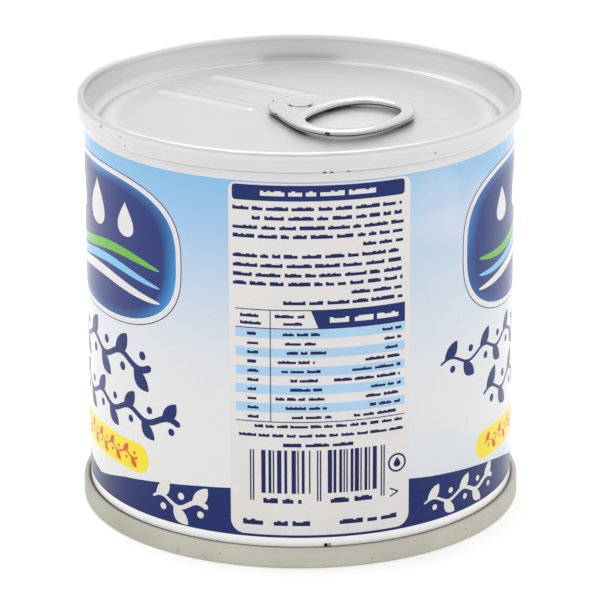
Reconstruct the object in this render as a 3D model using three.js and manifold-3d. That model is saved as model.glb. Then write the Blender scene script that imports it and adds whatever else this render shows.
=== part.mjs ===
// Evaporated milk can: a seamed tinplate can with an easy-open lid, shut and full.
// Millimetres, +Z up. The origin is the centre of the circle that the can stands on,
// and -Y is the side with the panel of small print.

import * as THREE from 'three';
import { mergeVertices } from 'three/addons/utils/BufferGeometryUtils.js';
import Module from 'manifold-3d';

const wasm = await Module();
wasm.setup();

// Driving dimensions

const canHeight = 62.4;
const bodyRadius = 31.65;
const seamRadius = 32.7;
const seamHeight = 3.0;
const seamThickness = 1.25;
const seamLip = 0.3;
const crestRounding = 0.6;
const footRounding = 0.4;
const roundSteps = 96;

// The lid, with heights measured down from the rim's crest

const lidUnderside = -5.0;
const lidSeatRadius = 31.2;
const wallFootRadius = 30.75;
const countersinkDepth = 4.6;
const countersinkRadius = 29.85;
const countersinkWidth = 1.2;
const panelDepth = 4.05;
const shoulderRadius = 28.5;
const shoulderRise = 0.12;
const shoulderWidth = 1.1;

// The pour strip: two raised ridges that run from the rivet towards the panel's edge

const stripAngle = THREE.MathUtils.degToRad(144);
const stripOffset = 4.25;
const ridgeSpacing = 11.1;
const ridgeWidth = 1.9;
const ridgeRise = 0.5;
const ridgeReach = 24.6;
const farRidgeStart = 5.5;
const nearRidgeStart = 8.1;

// The short raised bar on the panel, beyond the end of the finger loop

const barPlace = new THREE.Vector2(18.6, -3.2);
const barLength = 3.6;
const barWidth = 0.9;
const barRise = 0.3;

// The rivet and the low boss under it

const rivetPlace = new THREE.Vector2(0.12, 2.75);
const bossFootRadius = 4.6;
const bossTopRadius = 3.1;
const bossRise = 0.3;
const shankRadius = 1.2;
const shankClearance = 0.3;
const headRadius = 1.95;
const headRounding = 0.2;
const headDepth = 2.3;

// The pull tab, along its own length (u) and across it (v), measured from the rivet

const tabAngle = THREE.MathUtils.degToRad(-39);
const tabThickness = 1.2;
const curlWidth = 2.1;
const curlRounding = 0.5;
const loopCentre = 10.0;
const loopHalfLength = 6.6;
const loopHalfWidth = 8.85;
const loopSquareness = 2.4;
const noseTip = -4.0;
const noseRounding = 3.0;
const noseSquareness = 2.6;
const noseShoulder = new THREE.Vector2(-1.5, 5.15);
const noseFlare = 0.42;
const loopShoulder = 9.0;
const loopFlare = 0.12;
const pocketHalfLength = 2.9;
const pocketHalfWidth = 4.4;
const pocketDepth = 0.35;

// The base, with heights measured up from the circle that it stands on

const baseInsideTop = 4.6;
const basePanelHeight = 3.7;
const baseGrooveHeight = 3.0;
const baseGrooveRadius = 29.85;
const baseGrooveWidth = 1.3;
const baseWallRadius = 30.7;
const baseRingRadii = [20.5, 23.5];
const baseRingDepth = 0.45;
const baseRingWidth = 1.6;

function material(name, color, roughness, metalness) {
    return new THREE.MeshStandardMaterial({ name, color, roughness, metalness });
}

const printedTinplate = material('printed_tinplate', 0xcfe4f4, 0.4, 0.1);
const lacqueredMetal = material('lacquered_metal', 0xc9cac8, 0.42, 0.75);
const bareTinplate = material('bare_tinplate', 0xa9a69c, 0.36, 0.85);
const brightMetal = material('bright_metal', 0xd6d8da, 0.25, 0.9);

function point(x, y) {
    return new THREE.Vector2(x, y);
}

// Points on an arc about a centre, from one angle to another (degrees).
function arc(x, y, radius, from, to, steps = 3) {
    const points = [];
    for (let i = 0; i <= steps; i++) {
        const angle = THREE.MathUtils.degToRad(from + (to - from) * i / steps);
        points.push(point(x + radius * Math.cos(angle), y + radius * Math.sin(angle)));
    }
    return points;
}

// A closed oval: a superellipse, which is an ellipse where the squareness is 2.
function oval(centre, halfLength, halfWidth, squareness, steps) {
    const points = [];
    for (let i = 0; i < steps; i++) {
        const c = Math.cos(2 * Math.PI * i / steps);
        const s = Math.sin(2 * Math.PI * i / steps);
        points.push(point(
            centre + halfLength * Math.sign(c) * Math.abs(c) ** (2 / squareness),
            halfWidth * Math.sign(s) * Math.abs(s) ** (2 / squareness),
        ));
    }
    return points;
}

// Turns an outline of radius and height about the can's axis, which ends up along +Z.
function turned(outline, steps = roundSteps) {
    return new THREE.LatheGeometry(outline, steps).rotateX(Math.PI / 2);
}

function toManifold(geometry) {
    const plain = geometry.clone();
    plain.deleteAttribute('normal');
    plain.deleteAttribute('uv');
    const merged = mergeVertices(plain, 1e-5);
    const triVerts = new Uint32Array(merged.index.array);
    const vertProperties = new Float32Array(merged.attributes.position.array);
    return new wasm.Manifold(new wasm.Mesh({ numProp: 3, vertProperties, triVerts }));
}

function fromManifold(solid) {
    const { vertProperties, triVerts } = solid.getMesh();
    const geometry = new THREE.BufferGeometry();
    geometry.setAttribute('position', new THREE.BufferAttribute(vertProperties, 3));
    geometry.setIndex(new THREE.BufferAttribute(triVerts, 1));
    geometry.computeVertexNormals();
    return geometry;
}

// The can's wall with what fills it: one solid from the base to the lid,
// stepped in at both ends, where the two metal ends sit in it.
function canBody() {
    return turned([
        point(0, baseInsideTop),
        point(lidSeatRadius, baseInsideTop),
        point(lidSeatRadius, seamHeight),
        point(bodyRadius, seamHeight),
        point(bodyRadius, canHeight - seamHeight),
        point(lidSeatRadius, canHeight - seamHeight),
        point(lidSeatRadius, canHeight + lidUnderside),
        point(0, canHeight + lidUnderside),
    ]);
}

// The lid's section: seam, chuck wall, countersink, raised shoulder and flat panel.
function lidOutline() {
    const innerRim = seamRadius - seamThickness;
    const halfSink = countersinkWidth / 2;
    const shoulderTop = -panelDepth + shoulderRise;
    return [
        point(0, lidUnderside),
        point(lidSeatRadius, lidUnderside),
        point(lidSeatRadius, -seamHeight),
        point(seamRadius - seamLip, -seamHeight),
        point(seamRadius, -seamHeight + seamLip),
        ...arc(seamRadius - crestRounding, -crestRounding, crestRounding, 0, 90),
        ...arc(innerRim + crestRounding, -crestRounding, crestRounding, 90, 180),
        point(wallFootRadius, -countersinkDepth + halfSink),
        point(countersinkRadius + halfSink, -countersinkDepth + halfSink / 4),
        point(countersinkRadius, -countersinkDepth),
        point(countersinkRadius - halfSink, -countersinkDepth + halfSink / 3),
        point(shoulderRadius + shoulderWidth / 3, shoulderTop - shoulderRise),
        point(shoulderRadius, shoulderTop),
        point(shoulderRadius - shoulderWidth / 2, shoulderTop - shoulderRise / 2),
        point(shoulderRadius - shoulderWidth, -panelDepth),
        point(0, -panelDepth),
    ];
}

// A bar along +X with rounded ends and a rounded back, standing on the panel at z = 0
// and sunk a little into it.
function raisedBar(length, width, rise) {
    const sunk = 0.2;
    const inset = 0.4 * width;
    const outline = new THREE.Shape();
    outline.absarc(length, 0, width / 2, -Math.PI / 2, Math.PI / 2, false);
    outline.absarc(0, 0, width / 2, Math.PI / 2, 3 * Math.PI / 2, false);
    const geometry = new THREE.ExtrudeGeometry(outline, {
        depth: sunk,
        bevelEnabled: true,
        bevelThickness: rise,
        bevelSize: inset,
        bevelOffset: -inset,
        bevelSegments: 4,
        curveSegments: 6,
    });
    return toManifold(geometry.translate(0, 0, -sunk));
}

function onPanel(solid, place, angle) {
    return solid.rotate([0, 0, THREE.MathUtils.radToDeg(angle)]).translate([place.x, place.y, -panelDepth]);
}

// One ridge of the pour strip: side is 1 for the far ridge and -1 for the near one.
function stripRidge(side, start) {
    const offset = stripOffset + side * ridgeSpacing / 2;
    const end = Math.sqrt(ridgeReach ** 2 - offset ** 2);
    const along = point(Math.cos(stripAngle), Math.sin(stripAngle));
    const across = point(along.y, -along.x);
    const foot = across.multiplyScalar(offset).addScaledVector(along, start);
    return onPanel(raisedBar(end - start, ridgeWidth, ridgeRise), foot, stripAngle);
}

function rivetBoss() {
    const sunk = 0.2;
    const solid = toManifold(turned([
        point(0, -sunk),
        point(bossFootRadius, -sunk),
        point(bossFootRadius, 0),
        point(bossTopRadius, bossRise),
        point(0, bossRise),
    ], 32));
    return onPanel(solid, rivetPlace, 0);
}

function topEnd() {
    const solid = toManifold(turned(lidOutline()))
        .add(stripRidge(1, farRidgeStart))
        .add(stripRidge(-1, nearRidgeStart))
        .add(onPanel(raisedBar(barLength, barWidth, barRise), barPlace, 0))
        .add(rivetBoss());
    return fromManifold(solid);
}

// The base: the same seam turned upside down, a groove inside it and a ringed panel.
function baseEnd() {
    const innerRim = seamRadius - seamThickness;
    const halfGroove = baseGrooveWidth / 2;
    const rings = baseRingRadii.flatMap((radius) => [
        point(radius - baseRingWidth / 2, basePanelHeight),
        point(radius, basePanelHeight - baseRingDepth),
        point(radius + baseRingWidth / 2, basePanelHeight),
    ]);
    return turned([
        point(0, basePanelHeight),
        ...rings,
        point(baseGrooveRadius - 2 * halfGroove, basePanelHeight),
        point(baseGrooveRadius - halfGroove, baseGrooveHeight + halfGroove / 3),
        point(baseGrooveRadius, baseGrooveHeight),
        point(baseWallRadius, baseGrooveHeight - halfGroove / 3),
        ...arc(innerRim + footRounding, footRounding, footRounding, 180, 270),
        ...arc(seamRadius - footRounding, footRounding, footRounding, 270, 360),
        point(seamRadius, seamHeight - seamLip),
        point(seamRadius - seamLip, seamHeight),
        point(lidSeatRadius, seamHeight),
        point(lidSeatRadius, baseInsideTop),
        point(0, baseInsideTop),
    ]);
}

// Half the width of the finger loop's outer edge at a place along the tab.
function loopOuterHalfWidth(u) {
    const fromCentre = Math.min(Math.abs(u - loopCentre) / (loopHalfLength + curlWidth / 2), 1);
    const width = loopHalfWidth + curlWidth / 2;
    return width * (1 - fromCentre ** loopSquareness) ** (1 / loopSquareness);
}

// Half the tab's width at a place along it: a rounded tip, then sides that flare out
// along a cubic curve and run smoothly into the loop.
function tabHalfWidth(u) {
    if (u > loopShoulder) {
        return loopOuterHalfWidth(u);
    }
    const span = loopShoulder - noseShoulder.x;
    const t = (u - noseShoulder.x) / span;
    const flank = (2 * t ** 3 - 3 * t ** 2 + 1) * noseShoulder.y
        + (t ** 3 - 2 * t ** 2 + t) * span * noseFlare
        + (3 * t ** 2 - 2 * t ** 3) * loopOuterHalfWidth(loopShoulder)
        + (t ** 3 - t ** 2) * span * loopFlare;
    const intoNose = Math.min(Math.max((noseTip + noseRounding - u) / noseRounding, 0), 1);
    return flank * (1 - intoNose ** noseSquareness) ** (1 / noseSquareness);
}

// The tab's outline, along one side from the nose to the loop's end and back on the other,
// with more points where it turns at both ends.
function tabOutline(steps) {
    const loopEnd = loopCentre + loopHalfLength + curlWidth / 2;
    const side = [];
    for (let i = 0; i <= steps; i++) {
        const u = noseTip + (loopEnd - noseTip) * (1 - Math.cos(Math.PI * i / steps)) / 2;
        side.push(point(u, -tabHalfWidth(u)));
    }
    const back = side.slice(1, -1).map((p) => point(p.x, -p.y)).reverse();
    return [...side, ...back];
}

function upright(outline, bottom, depth) {
    const geometry = new THREE.ExtrudeGeometry(new THREE.Shape(outline), { depth, bevelEnabled: false });
    return toManifold(geometry.translate(0, 0, bottom));
}

// The tab: a flat nose with a rolled edge that opens into an oval finger loop.
function pullTab() {
    const underside = -panelDepth + bossRise;
    const top = underside + tabThickness;
    const outline = new THREE.Shape(tabOutline(40));
    const holeHalfLength = loopHalfLength - curlWidth / 2;
    const holeHalfWidth = loopHalfWidth - curlWidth / 2;
    outline.holes.push(new THREE.Path(oval(loopCentre, holeHalfLength, holeHalfWidth, loopSquareness, 48)));
    const plate = new THREE.ExtrudeGeometry(outline, {
        depth: tabThickness - 2 * curlRounding,
        bevelEnabled: true,
        bevelThickness: curlRounding,
        bevelSize: curlRounding,
        bevelOffset: -curlRounding,
        bevelSegments: 3,
    });
    plate.translate(0, 0, underside + curlRounding);
    const pocketOval = oval(0, pocketHalfLength, pocketHalfWidth, noseSquareness, 28);
    const pocket = upright(pocketOval, top - pocketDepth, tabThickness);
    const boreRadius = shankRadius + shankClearance;
    const bore = upright(oval(0, boreRadius, boreRadius, 2, 24), underside - tabThickness, 3 * tabThickness);
    return fromManifold(toManifold(plate).subtract(pocket).subtract(bore));
}

function rivet() {
    const foot = -panelDepth + bossRise;
    const seat = foot + tabThickness - pocketDepth;
    return turned([
        point(0, foot),
        point(shankRadius, foot),
        point(shankRadius, seat),
        point(headRadius, seat),
        ...arc(headRadius - headRounding, -headDepth - headRounding, headRounding, 0, 90),
        point(0, -headDepth),
    ], 32);
}

function named(name, geometry, finish) {
    const mesh = new THREE.Mesh(geometry, finish);
    mesh.name = name;
    return mesh;
}

const can = new THREE.Group();
can.add(named('can_body', canBody(), printedTinplate));
can.add(named('base_end', baseEnd(), bareTinplate));

const lid = new THREE.Group();
lid.position.z = canHeight;
lid.add(named('top_end', topEnd(), lacqueredMetal));
can.add(lid);

const opener = new THREE.Group();
opener.position.set(rivetPlace.x, rivetPlace.y, 0);
opener.rotation.z = tabAngle;
opener.add(named('pull_tab', pullTab(), brightMetal));
opener.add(named('rivet', rivet(), brightMetal));
lid.add(opener);

export default can;
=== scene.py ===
"""Dresses the evaporated milk can: a seamed tinplate can with a printed wall and a lid with a ring tab.

Lengths are millimetres until make_piece turns them into metres, and heights run up from the circle
that the can stands on. On the wall, s is the distance round it from the middle of the front (-Y),
plus to the reader's right, and z is the height. Print is thin skins wrapped on the wall, each ink
standing a few microns further out than the one it is printed over.
"""

import logging
import math
from dataclasses import dataclass, field
from enum import Enum

import bpy
import numpy as np
from mathutils import Matrix, Vector


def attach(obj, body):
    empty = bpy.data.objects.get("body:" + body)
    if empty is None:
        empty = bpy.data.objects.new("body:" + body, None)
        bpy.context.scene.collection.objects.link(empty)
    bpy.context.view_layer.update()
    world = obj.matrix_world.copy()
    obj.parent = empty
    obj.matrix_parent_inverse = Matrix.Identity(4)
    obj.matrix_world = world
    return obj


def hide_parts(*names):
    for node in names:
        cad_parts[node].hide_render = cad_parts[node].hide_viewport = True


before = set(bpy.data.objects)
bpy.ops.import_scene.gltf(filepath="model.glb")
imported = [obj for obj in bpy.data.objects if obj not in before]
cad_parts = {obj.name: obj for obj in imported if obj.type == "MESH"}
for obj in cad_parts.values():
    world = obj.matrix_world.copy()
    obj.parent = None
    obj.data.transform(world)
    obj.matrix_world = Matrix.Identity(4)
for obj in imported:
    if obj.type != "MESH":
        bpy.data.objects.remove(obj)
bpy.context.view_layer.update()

LOG = logging.getLogger("milk_can")
MILLIMETRE = 0.001


@dataclass(frozen=True)
class CanSizes:
    """The sizes that the can's pieces share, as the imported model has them."""

    height: float = 62.4
    body_radius: float = 31.65
    core_radius: float = 31.2
    seam_radius: float = 32.7
    seam_height: float = 3.0
    seam_thickness: float = 1.25
    seam_lip: float = 0.3
    lid_underside: float = 57.4
    base_inside: float = 4.6
    panel_height: float = 58.35
    boss_rise: float = 0.3
    rivet_place: tuple[float, float] = (0.12, 2.75)
    tab_angle: float = -39.0

    @property
    def girth(self) -> float:
        """Returns the distance once round the wall."""
        return 2 * math.pi * self.body_radius


CAN = CanSizes()


class Proud(Enum):
    """How far an ink stands out of the wall, in millimetres, by what it is printed over."""

    ON_WALL = 0.012
    ON_FIELD = 0.020
    ON_PANEL = 0.028
    ON_BADGE = 0.036


# Surfaces


@dataclass
class Surface:
    """Points with the faces between them, and a value at each point for the material to read.

    Args:
        points: one row of x, y and z for each point, in millimetres.
        faces: arrays of point numbers, one array for each number of corners.
        values: one number for each point, or None.
    """

    points: np.ndarray
    faces: list[np.ndarray]
    values: np.ndarray | None = None


def joined(parts: list[Surface]) -> Surface:
    """Puts several surfaces into one, with their point numbers counted on.

    Args:
        parts: the surfaces.

    Returns:
        One surface that holds all of them.
    """
    starts = np.cumsum([0] + [len(part.points) for part in parts])
    faces = [face + start for part, start in zip(parts, starts) for face in part.faces]
    sizes = sorted({face.shape[1] for face in faces})
    merged = [np.concatenate([face for face in faces if face.shape[1] == size]) for size in sizes]
    values = None
    if parts[0].values is not None:
        values = np.concatenate([part.values for part in parts])
    return Surface(np.concatenate([part.points for part in parts]), merged, values)


def grid_quads(rows: int, columns: int, wrap_rows: bool = False, wrap_columns: bool = False) -> np.ndarray:
    """Four-sided faces between the neighbours of a grid whose points are numbered row by row.

    Args:
        rows: number of rows.
        columns: number of points in a row.
        wrap_rows: whether the last row meets the first.
        wrap_columns: whether the last column meets the first.

    Returns:
        One row of four point numbers for each face.
    """
    r = np.arange(rows if wrap_rows else rows - 1)[:, None]
    c = np.arange(columns if wrap_columns else columns - 1)[None, :]
    r_next, c_next = (r + 1) % rows, (c + 1) % columns
    corners = (r * columns + c, r * columns + c_next, r_next * columns + c_next, r_next * columns + c)
    return np.stack(corners, axis=-1).reshape(-1, 4)


def arc(x: float, y: float, radius: float, start: float, stop: float, steps: int = 10) -> np.ndarray:
    """Points on a circle: the centre plus the radius times the cosine and sine of an even run of angles.

    Args:
        x: the centre's first coordinate.
        y: the centre's second coordinate.
        radius: the circle's radius.
        start: first angle in degrees.
        stop: last angle in degrees.
        steps: number of steps between them.

    Returns:
        The points, one in each row.
    """
    angle = np.radians(np.linspace(start, stop, steps + 1))
    return np.stack([x + radius * np.cos(angle), y + radius * np.sin(angle)], axis=-1)


def smooth_step(value: np.ndarray, start: float, stop: float) -> np.ndarray:
    """Rises from 0 at start to 1 at stop as 3t squared less 2t cubed, where t is the share of the way."""
    t = np.clip((value - start) / (stop - start), 0, 1)
    return t * t * (3 - 2 * t)


def rounded_line(corners: list[tuple[float, float, float]], steps: int = 6) -> np.ndarray:
    """A line through corners, each rounded as a quadratic curve between points at its radius on both sides.

    Args:
        corners: x, y and rounding of each corner; a rounding of 0 keeps it sharp.
        steps: steps in each rounding.

    Returns:
        The line's points, one in each row.
    """
    at = np.array([corner[:2] for corner in corners])
    line = [at[:1]]
    t = np.linspace(0, 1, steps + 1)[:, None]
    for i in range(1, len(corners) - 1):
        radius = corners[i][2]
        if radius == 0:
            line.append(at[i : i + 1])
            continue
        before = at[i - 1] - at[i]
        after = at[i + 1] - at[i]
        start = at[i] + before * min(radius / np.hypot(*before), 0.5)
        stop = at[i] + after * min(radius / np.hypot(*after), 0.5)
        line.append((1 - t) ** 2 * start + 2 * t * (1 - t) * at[i] + t**2 * stop)
    line.append(at[-1:])
    return np.concatenate(line)


def finer(line: np.ndarray, longest: float) -> np.ndarray:
    """Adds points to a line by straight interpolation, so that no step is longer than a given length.

    Args:
        line: the line's points.
        longest: the longest step.

    Returns:
        The line with the points added.
    """
    parts = [line[:1]]
    for start, stop in zip(line[:-1], line[1:]):
        count = max(1, math.ceil(np.hypot(*(stop - start)) / longest))
        parts.append(start + (stop - start) * np.linspace(0, 1, count + 1)[1:, None])
    return np.concatenate(parts)


def turned(profile: np.ndarray, steps: int) -> Surface:
    """Turns a profile about the can's axis: x = r cos a, y = r sin a, z = z, for an even run of angles a.

    Args:
        profile: radius and height of each point, from a first one on the axis, out, up and back to a last
            one on the axis. The first and last become single points, so the surface is closed.
        steps: number of steps round the axis.

    Returns:
        The closed surface, facing out.
    """
    angle = 2 * np.pi * np.arange(steps) / steps
    rings = profile[1:-1]
    x = rings[:, :1] * np.cos(angle)
    y = rings[:, :1] * np.sin(angle)
    z = np.broadcast_to(rings[:, 1:], x.shape)
    ends = [[0, 0, profile[0, 1]], [0, 0, profile[-1, 1]]]
    points = np.concatenate([np.stack([x, y, z], axis=-1).reshape(-1, 3), ends])
    this = np.arange(steps)
    after = (this + 1) % steps
    last = (len(rings) - 1) * steps
    low_pole, high_pole = len(points) - 2, len(points) - 1
    low = np.stack([np.full(steps, low_pole), after, this], axis=-1)
    high = np.stack([last + this, last + after, np.full(steps, high_pole)], axis=-1)
    return Surface(points, [np.concatenate([low, high]), grid_quads(len(rings), steps, wrap_columns=True)])


def slab(front: np.ndarray, back: np.ndarray) -> Surface:
    """Closes the space between two grids of the same size: one in front, the other turned over, and sides.

    Args:
        front: points of the front grid, whose columns run right and rows run up as seen from outside.
        back: points of the back grid.

    Returns:
        The closed surface, facing out.
    """
    rows, columns = front.shape[:2]
    number = np.arange(rows * columns).reshape(rows, columns)
    edge = np.concatenate([number[0, :-1], number[:-1, -1], number[-1, :0:-1], number[:0:-1, 0]])
    after = np.roll(edge, -1)
    inner = rows * columns
    face = grid_quads(rows, columns)
    sides = np.stack([edge + inner, after + inner, after, edge], axis=-1)
    points = np.concatenate([front.reshape(-1, 3), back.reshape(-1, 3)])
    return Surface(points, [np.concatenate([face, face[:, ::-1] + inner, sides])])


def speck(place: tuple[float, float, float], half: tuple[float, float, float], turn: float) -> Surface:
    """A small rounded speck: a unit ball times its half sizes, turned about Z and moved to its place.

    Args:
        place: its centre.
        half: half its sizes.
        turn: its turn in degrees.

    Returns:
        The closed speck.
    """
    ball = turned(arc(0, 0, 1, -90, 90, 12), 20)
    x, y, z = (ball.points * half).T
    cos, sin = math.cos(math.radians(turn)), math.sin(math.radians(turn))
    ball.points = np.stack([x * cos - y * sin, x * sin + y * cos, z], axis=-1) + place
    return ball


def make_piece(name: str, surface: Surface, material: bpy.types.Material,
               sharp: float = 35.0) -> bpy.types.Object:
    """Makes a piece of the can from a surface, smooth but for edges that turn by more than an angle.

    Args:
        name: the piece's name.
        surface: its shape, in millimetres.
        material: its finish.
        sharp: the angle in degrees past which an edge stays sharp.

    Returns:
        The piece, which rides on the can.
    """
    mesh = bpy.data.meshes.new(name)
    mesh.vertices.add(len(surface.points))
    mesh.vertices.foreach_set("co", (surface.points * MILLIMETRE).astype(np.float32).ravel())
    counts = np.concatenate([np.full(len(face), face.shape[1]) for face in surface.faces])
    corners = np.concatenate([face.ravel() for face in surface.faces])
    mesh.loops.add(len(corners))
    mesh.loops.foreach_set("vertex_index", corners.astype(np.int32))
    mesh.polygons.add(len(counts))
    mesh.polygons.foreach_set("loop_start", np.concatenate([[0], np.cumsum(counts)[:-1]]).astype(np.int32))
    mesh.update(calc_edges=True)
    mesh.validate()
    if surface.values is not None:
        attribute = mesh.attributes.new("depth", "FLOAT", "POINT")
        attribute.data.foreach_set("value", surface.values.astype(np.float32))
    mesh.shade_smooth()
    mesh.set_sharp_from_angle(angle=math.radians(sharp))
    mesh.materials.append(material)
    piece = bpy.data.objects.new(name, mesh)
    bpy.context.scene.collection.objects.link(piece)
    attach(piece, "root")
    LOG.info("%s: %d faces", name, len(mesh.polygons))
    return piece


# Patches of print: grids of s and z, wrapped on the wall

SKIN_BACK = -0.02
WORD_STEP = 0.4
WORD_LENGTHS = (3, 10)
WORD_GAP = (0.9, 1.5)
WORD_FOOT = 0.08
WORD_TOPS = (0.52, 0.66)
LEAF_LENGTH = 0.64
LEAF_WIDTH = 0.35
LEAF_RISE = 46
BERRY_RADIUS = 0.095
RING_STEPS = 40


@dataclass
class Patch:
    """A field of print on the unrolled wall.

    Args:
        s: distance round the wall of each grid point, growing along the columns.
        z: height of each grid point, growing along the rows.
        depth: a value at each grid point for the material, or None.
    """

    s: np.ndarray
    z: np.ndarray
    depth: np.ndarray | None = None


def skin(patches: list[Patch], proud: Proud) -> Surface:
    """Wraps patches on the wall as closed skins: angle = s over the radius, x = r sin, y = -r cos.

    Args:
        patches: the fields to wrap.
        proud: how far their outer faces stand out of the wall. Their backs lie inside it.

    Returns:
        One surface with all the skins.
    """
    parts = []
    for patch in patches:
        angle = patch.s / CAN.body_radius
        layers = []
        for stand in (proud.value, SKIN_BACK):
            radius = CAN.body_radius + stand
            layers.append(np.stack([radius * np.sin(angle), -radius * np.cos(angle), patch.z], axis=-1))
        parts.append(slab(*layers))
        if patch.depth is not None:
            parts[-1].values = np.tile(patch.depth.ravel(), 2)
    return joined(parts)


def between(s: np.ndarray, low: np.ndarray | float, high: np.ndarray | float, rows: int = 2) -> Patch:
    """A field between two edges over the same s: z runs evenly from the low edge to the high one.

    Args:
        s: distances round the wall, growing.
        low: height of the lower edge at each.
        high: height of the upper edge at each.
        rows: number of rows of points.

    Returns:
        The patch.
    """
    t = np.linspace(0, 1, rows)[:, None]
    z = (1 - t) * (low + 0 * s) + t * (high + 0 * s)
    return Patch(np.broadcast_to(s, z.shape), z)


def even(start: float, stop: float, step: float = 0.6) -> np.ndarray:
    """An even run of numbers from start to stop, no further apart than step."""
    return np.linspace(start, stop, max(2, math.ceil((stop - start) / step) + 1))


def box(s0: float, s1: float, z0: float, z1: float, low: float = 0.0, high: float = 0.0) -> Patch:
    """A rectangle with rounded corners: near an end each edge draws in by r less the root of r² - d².

    Args:
        s0: left side.
        s1: right side.
        z0: lower side.
        z1: upper side.
        low: rounding of the lower corners.
        high: rounding of the upper corners.

    Returns:
        The patch.
    """
    turn = max(low, high)
    ease = turn * (1 - np.cos(np.linspace(0, np.pi / 2, 9)))
    ends = [s0 + ease, s1 - ease[::-1]] if turn else []
    s = np.unique(np.round(np.concatenate([even(s0 + turn, s1 - turn)] + ends), 6))
    from_end = np.minimum(s - s0, s1 - s)

    def draw_in(radius: float) -> np.ndarray:
        """Returns how far an edge draws in at each s for a corner's radius."""
        short = np.clip(radius - from_end, 0, None)
        return radius - np.sqrt(np.maximum(radius**2 - short**2, 0))

    return between(s, z0 + draw_in(low), z1 - draw_in(high))


def squircle(s: float, z: float, half_width: float, half_height: float, squareness: float,
             rows: int = 2) -> Patch:
    """A rounded field where the shares of its half width and half height, each to a power, add up to 1.

    Args:
        s: place of its centre round the wall.
        z: height of its centre.
        half_width: half its width.
        half_height: half its height.
        squareness: the power; 2 gives an ellipse.
        rows: number of rows of points.

    Returns:
        The patch, whose depth is 0 at the edge and 1 in the middle.
    """
    x = 0.9995 * np.sin(np.linspace(-np.pi / 2, np.pi / 2, 97))
    y = (1 - np.abs(x) ** squareness) ** (1 / squareness)
    patch = between(s + half_width * x, z - half_height * y, z + half_height * y, rows)
    across, up = np.abs((patch.s - s) / half_width), np.abs((patch.z - z) / half_height)
    share = np.clip(across**squareness + up**squareness, 0, 1)
    return Patch(patch.s, patch.z, 1 - share ** (1 / squareness))


def stroke(path: np.ndarray, width: np.ndarray | float) -> Patch:
    """A brush stroke: the path moved to both sides along its normal by half the width, with round ends.

    Args:
        path: s and z of each point along the stroke.
        width: the stroke's width, all along it or at each point.

    Returns:
        The patch, whose columns run along the path.
    """
    step = np.gradient(path, axis=0)
    step /= np.maximum(np.hypot(step[:, 0], step[:, 1]), 1e-9)[:, None]
    normal = np.stack([-step[:, 1], step[:, 0]], axis=-1)
    run = np.concatenate([[0], np.cumsum(np.hypot(*np.diff(path, axis=0).T))])
    half = 0.5 * (width + 0 * run)
    from_end = np.minimum(run, run[-1] - run)
    cap = np.clip(1 - from_end / np.maximum(half, 1e-6), 0, 1)
    half = half * np.sqrt(np.clip(1 - cap**2, 0.02, 1))
    right, left = path - normal * half[:, None], path + normal * half[:, None]
    return Patch(np.stack([right[:, 0], left[:, 0]]), np.stack([right[:, 1], left[:, 1]]))


def drop(s: float, z: float, half_width: float, height: float) -> Patch:
    """A drop: its half width is the sine of t times that of half t to the power 1.4, t from tip to foot.

    Args:
        s: place of its centre line.
        z: height of its middle.
        half_width: half its greatest width.
        height: its height.

    Returns:
        The patch.
    """
    t = np.linspace(np.pi * 0.995, 0.01, 33)
    half = np.sin(t) * np.sin(t / 2) ** 1.4
    half *= half_width / half.max()
    across = np.linspace(-1, 1, 7)
    return Patch(s + half[:, None] * across, z + 0.5 * height * np.cos(t)[:, None] + 0 * across)


def ring(s: float, z: float, radius: float, width: float) -> Patch:
    """A circle drawn as one stroke: s and z are the centre plus a radius times cosine and sine.

    Args:
        s: place of its centre.
        z: height of its centre.
        radius: radius of the stroke's middle line.
        width: the stroke's width.

    Returns:
        The patch, whose rows are the outer and the inner edge.
    """
    angle = np.linspace(0, 2 * np.pi, RING_STEPS + 1)
    radii = np.array([[radius + width / 2], [radius - width / 2]])
    return Patch(s + radii * np.cos(angle), z + radii * np.sin(angle))


def word_bars(rng: np.random.Generator, start: float, stop: float, foot: float, size: float) -> list[Patch]:
    """A line of small print as plain bars, one for each word, with no letters in it.

    A word is a random number of steps long. The top of its bar lies at one of two heights over each step.

    Args:
        rng: source of the random draws.
        start: left end of the line.
        stop: right end.
        foot: height of the line's foot.
        size: height of the line.

    Returns:
        The line's patches.
    """
    patches = []
    step = WORD_STEP * size
    at = start
    while at < stop - 1.5 * step:
        count = int(min(rng.integers(*WORD_LENGTHS), (stop - at) / step))
        s = at + step * (np.arange(count)[:, None] + np.array([0.04, 0.96])).ravel()
        tops = size * np.repeat(rng.choice(WORD_TOPS, count), 2)
        patches.append(between(s, foot + WORD_FOOT * size, foot + tops))
        at += step * (count + rng.uniform(*WORD_GAP))
    return patches


def leaf(s: float, z: float, length: float, width: float, lean: float) -> Patch:
    """A leaf: its half width is the sine of pi times the share of the way up, to the power 0.8.

    Its middle line bends to one side by a little of the same sine.

    Args:
        s: place of its foot.
        z: height of its foot.
        length: its length.
        width: its greatest width.
        lean: degrees that it leans to the right of upright.

    Returns:
        The patch.
    """
    t = np.linspace(0.004, 0.996, 15)[:, None]
    sides = np.linspace(-1, 1, 5)
    along = length * t + 0 * sides
    across = 0.5 * width * np.sin(np.pi * t) ** 0.8 * sides + 0.12 * width * np.sin(np.pi * t)
    cos, sin = math.cos(math.radians(lean)), math.sin(math.radians(lean))
    return Patch(s + across * cos + along * sin, z - across * sin + along * cos)


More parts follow.
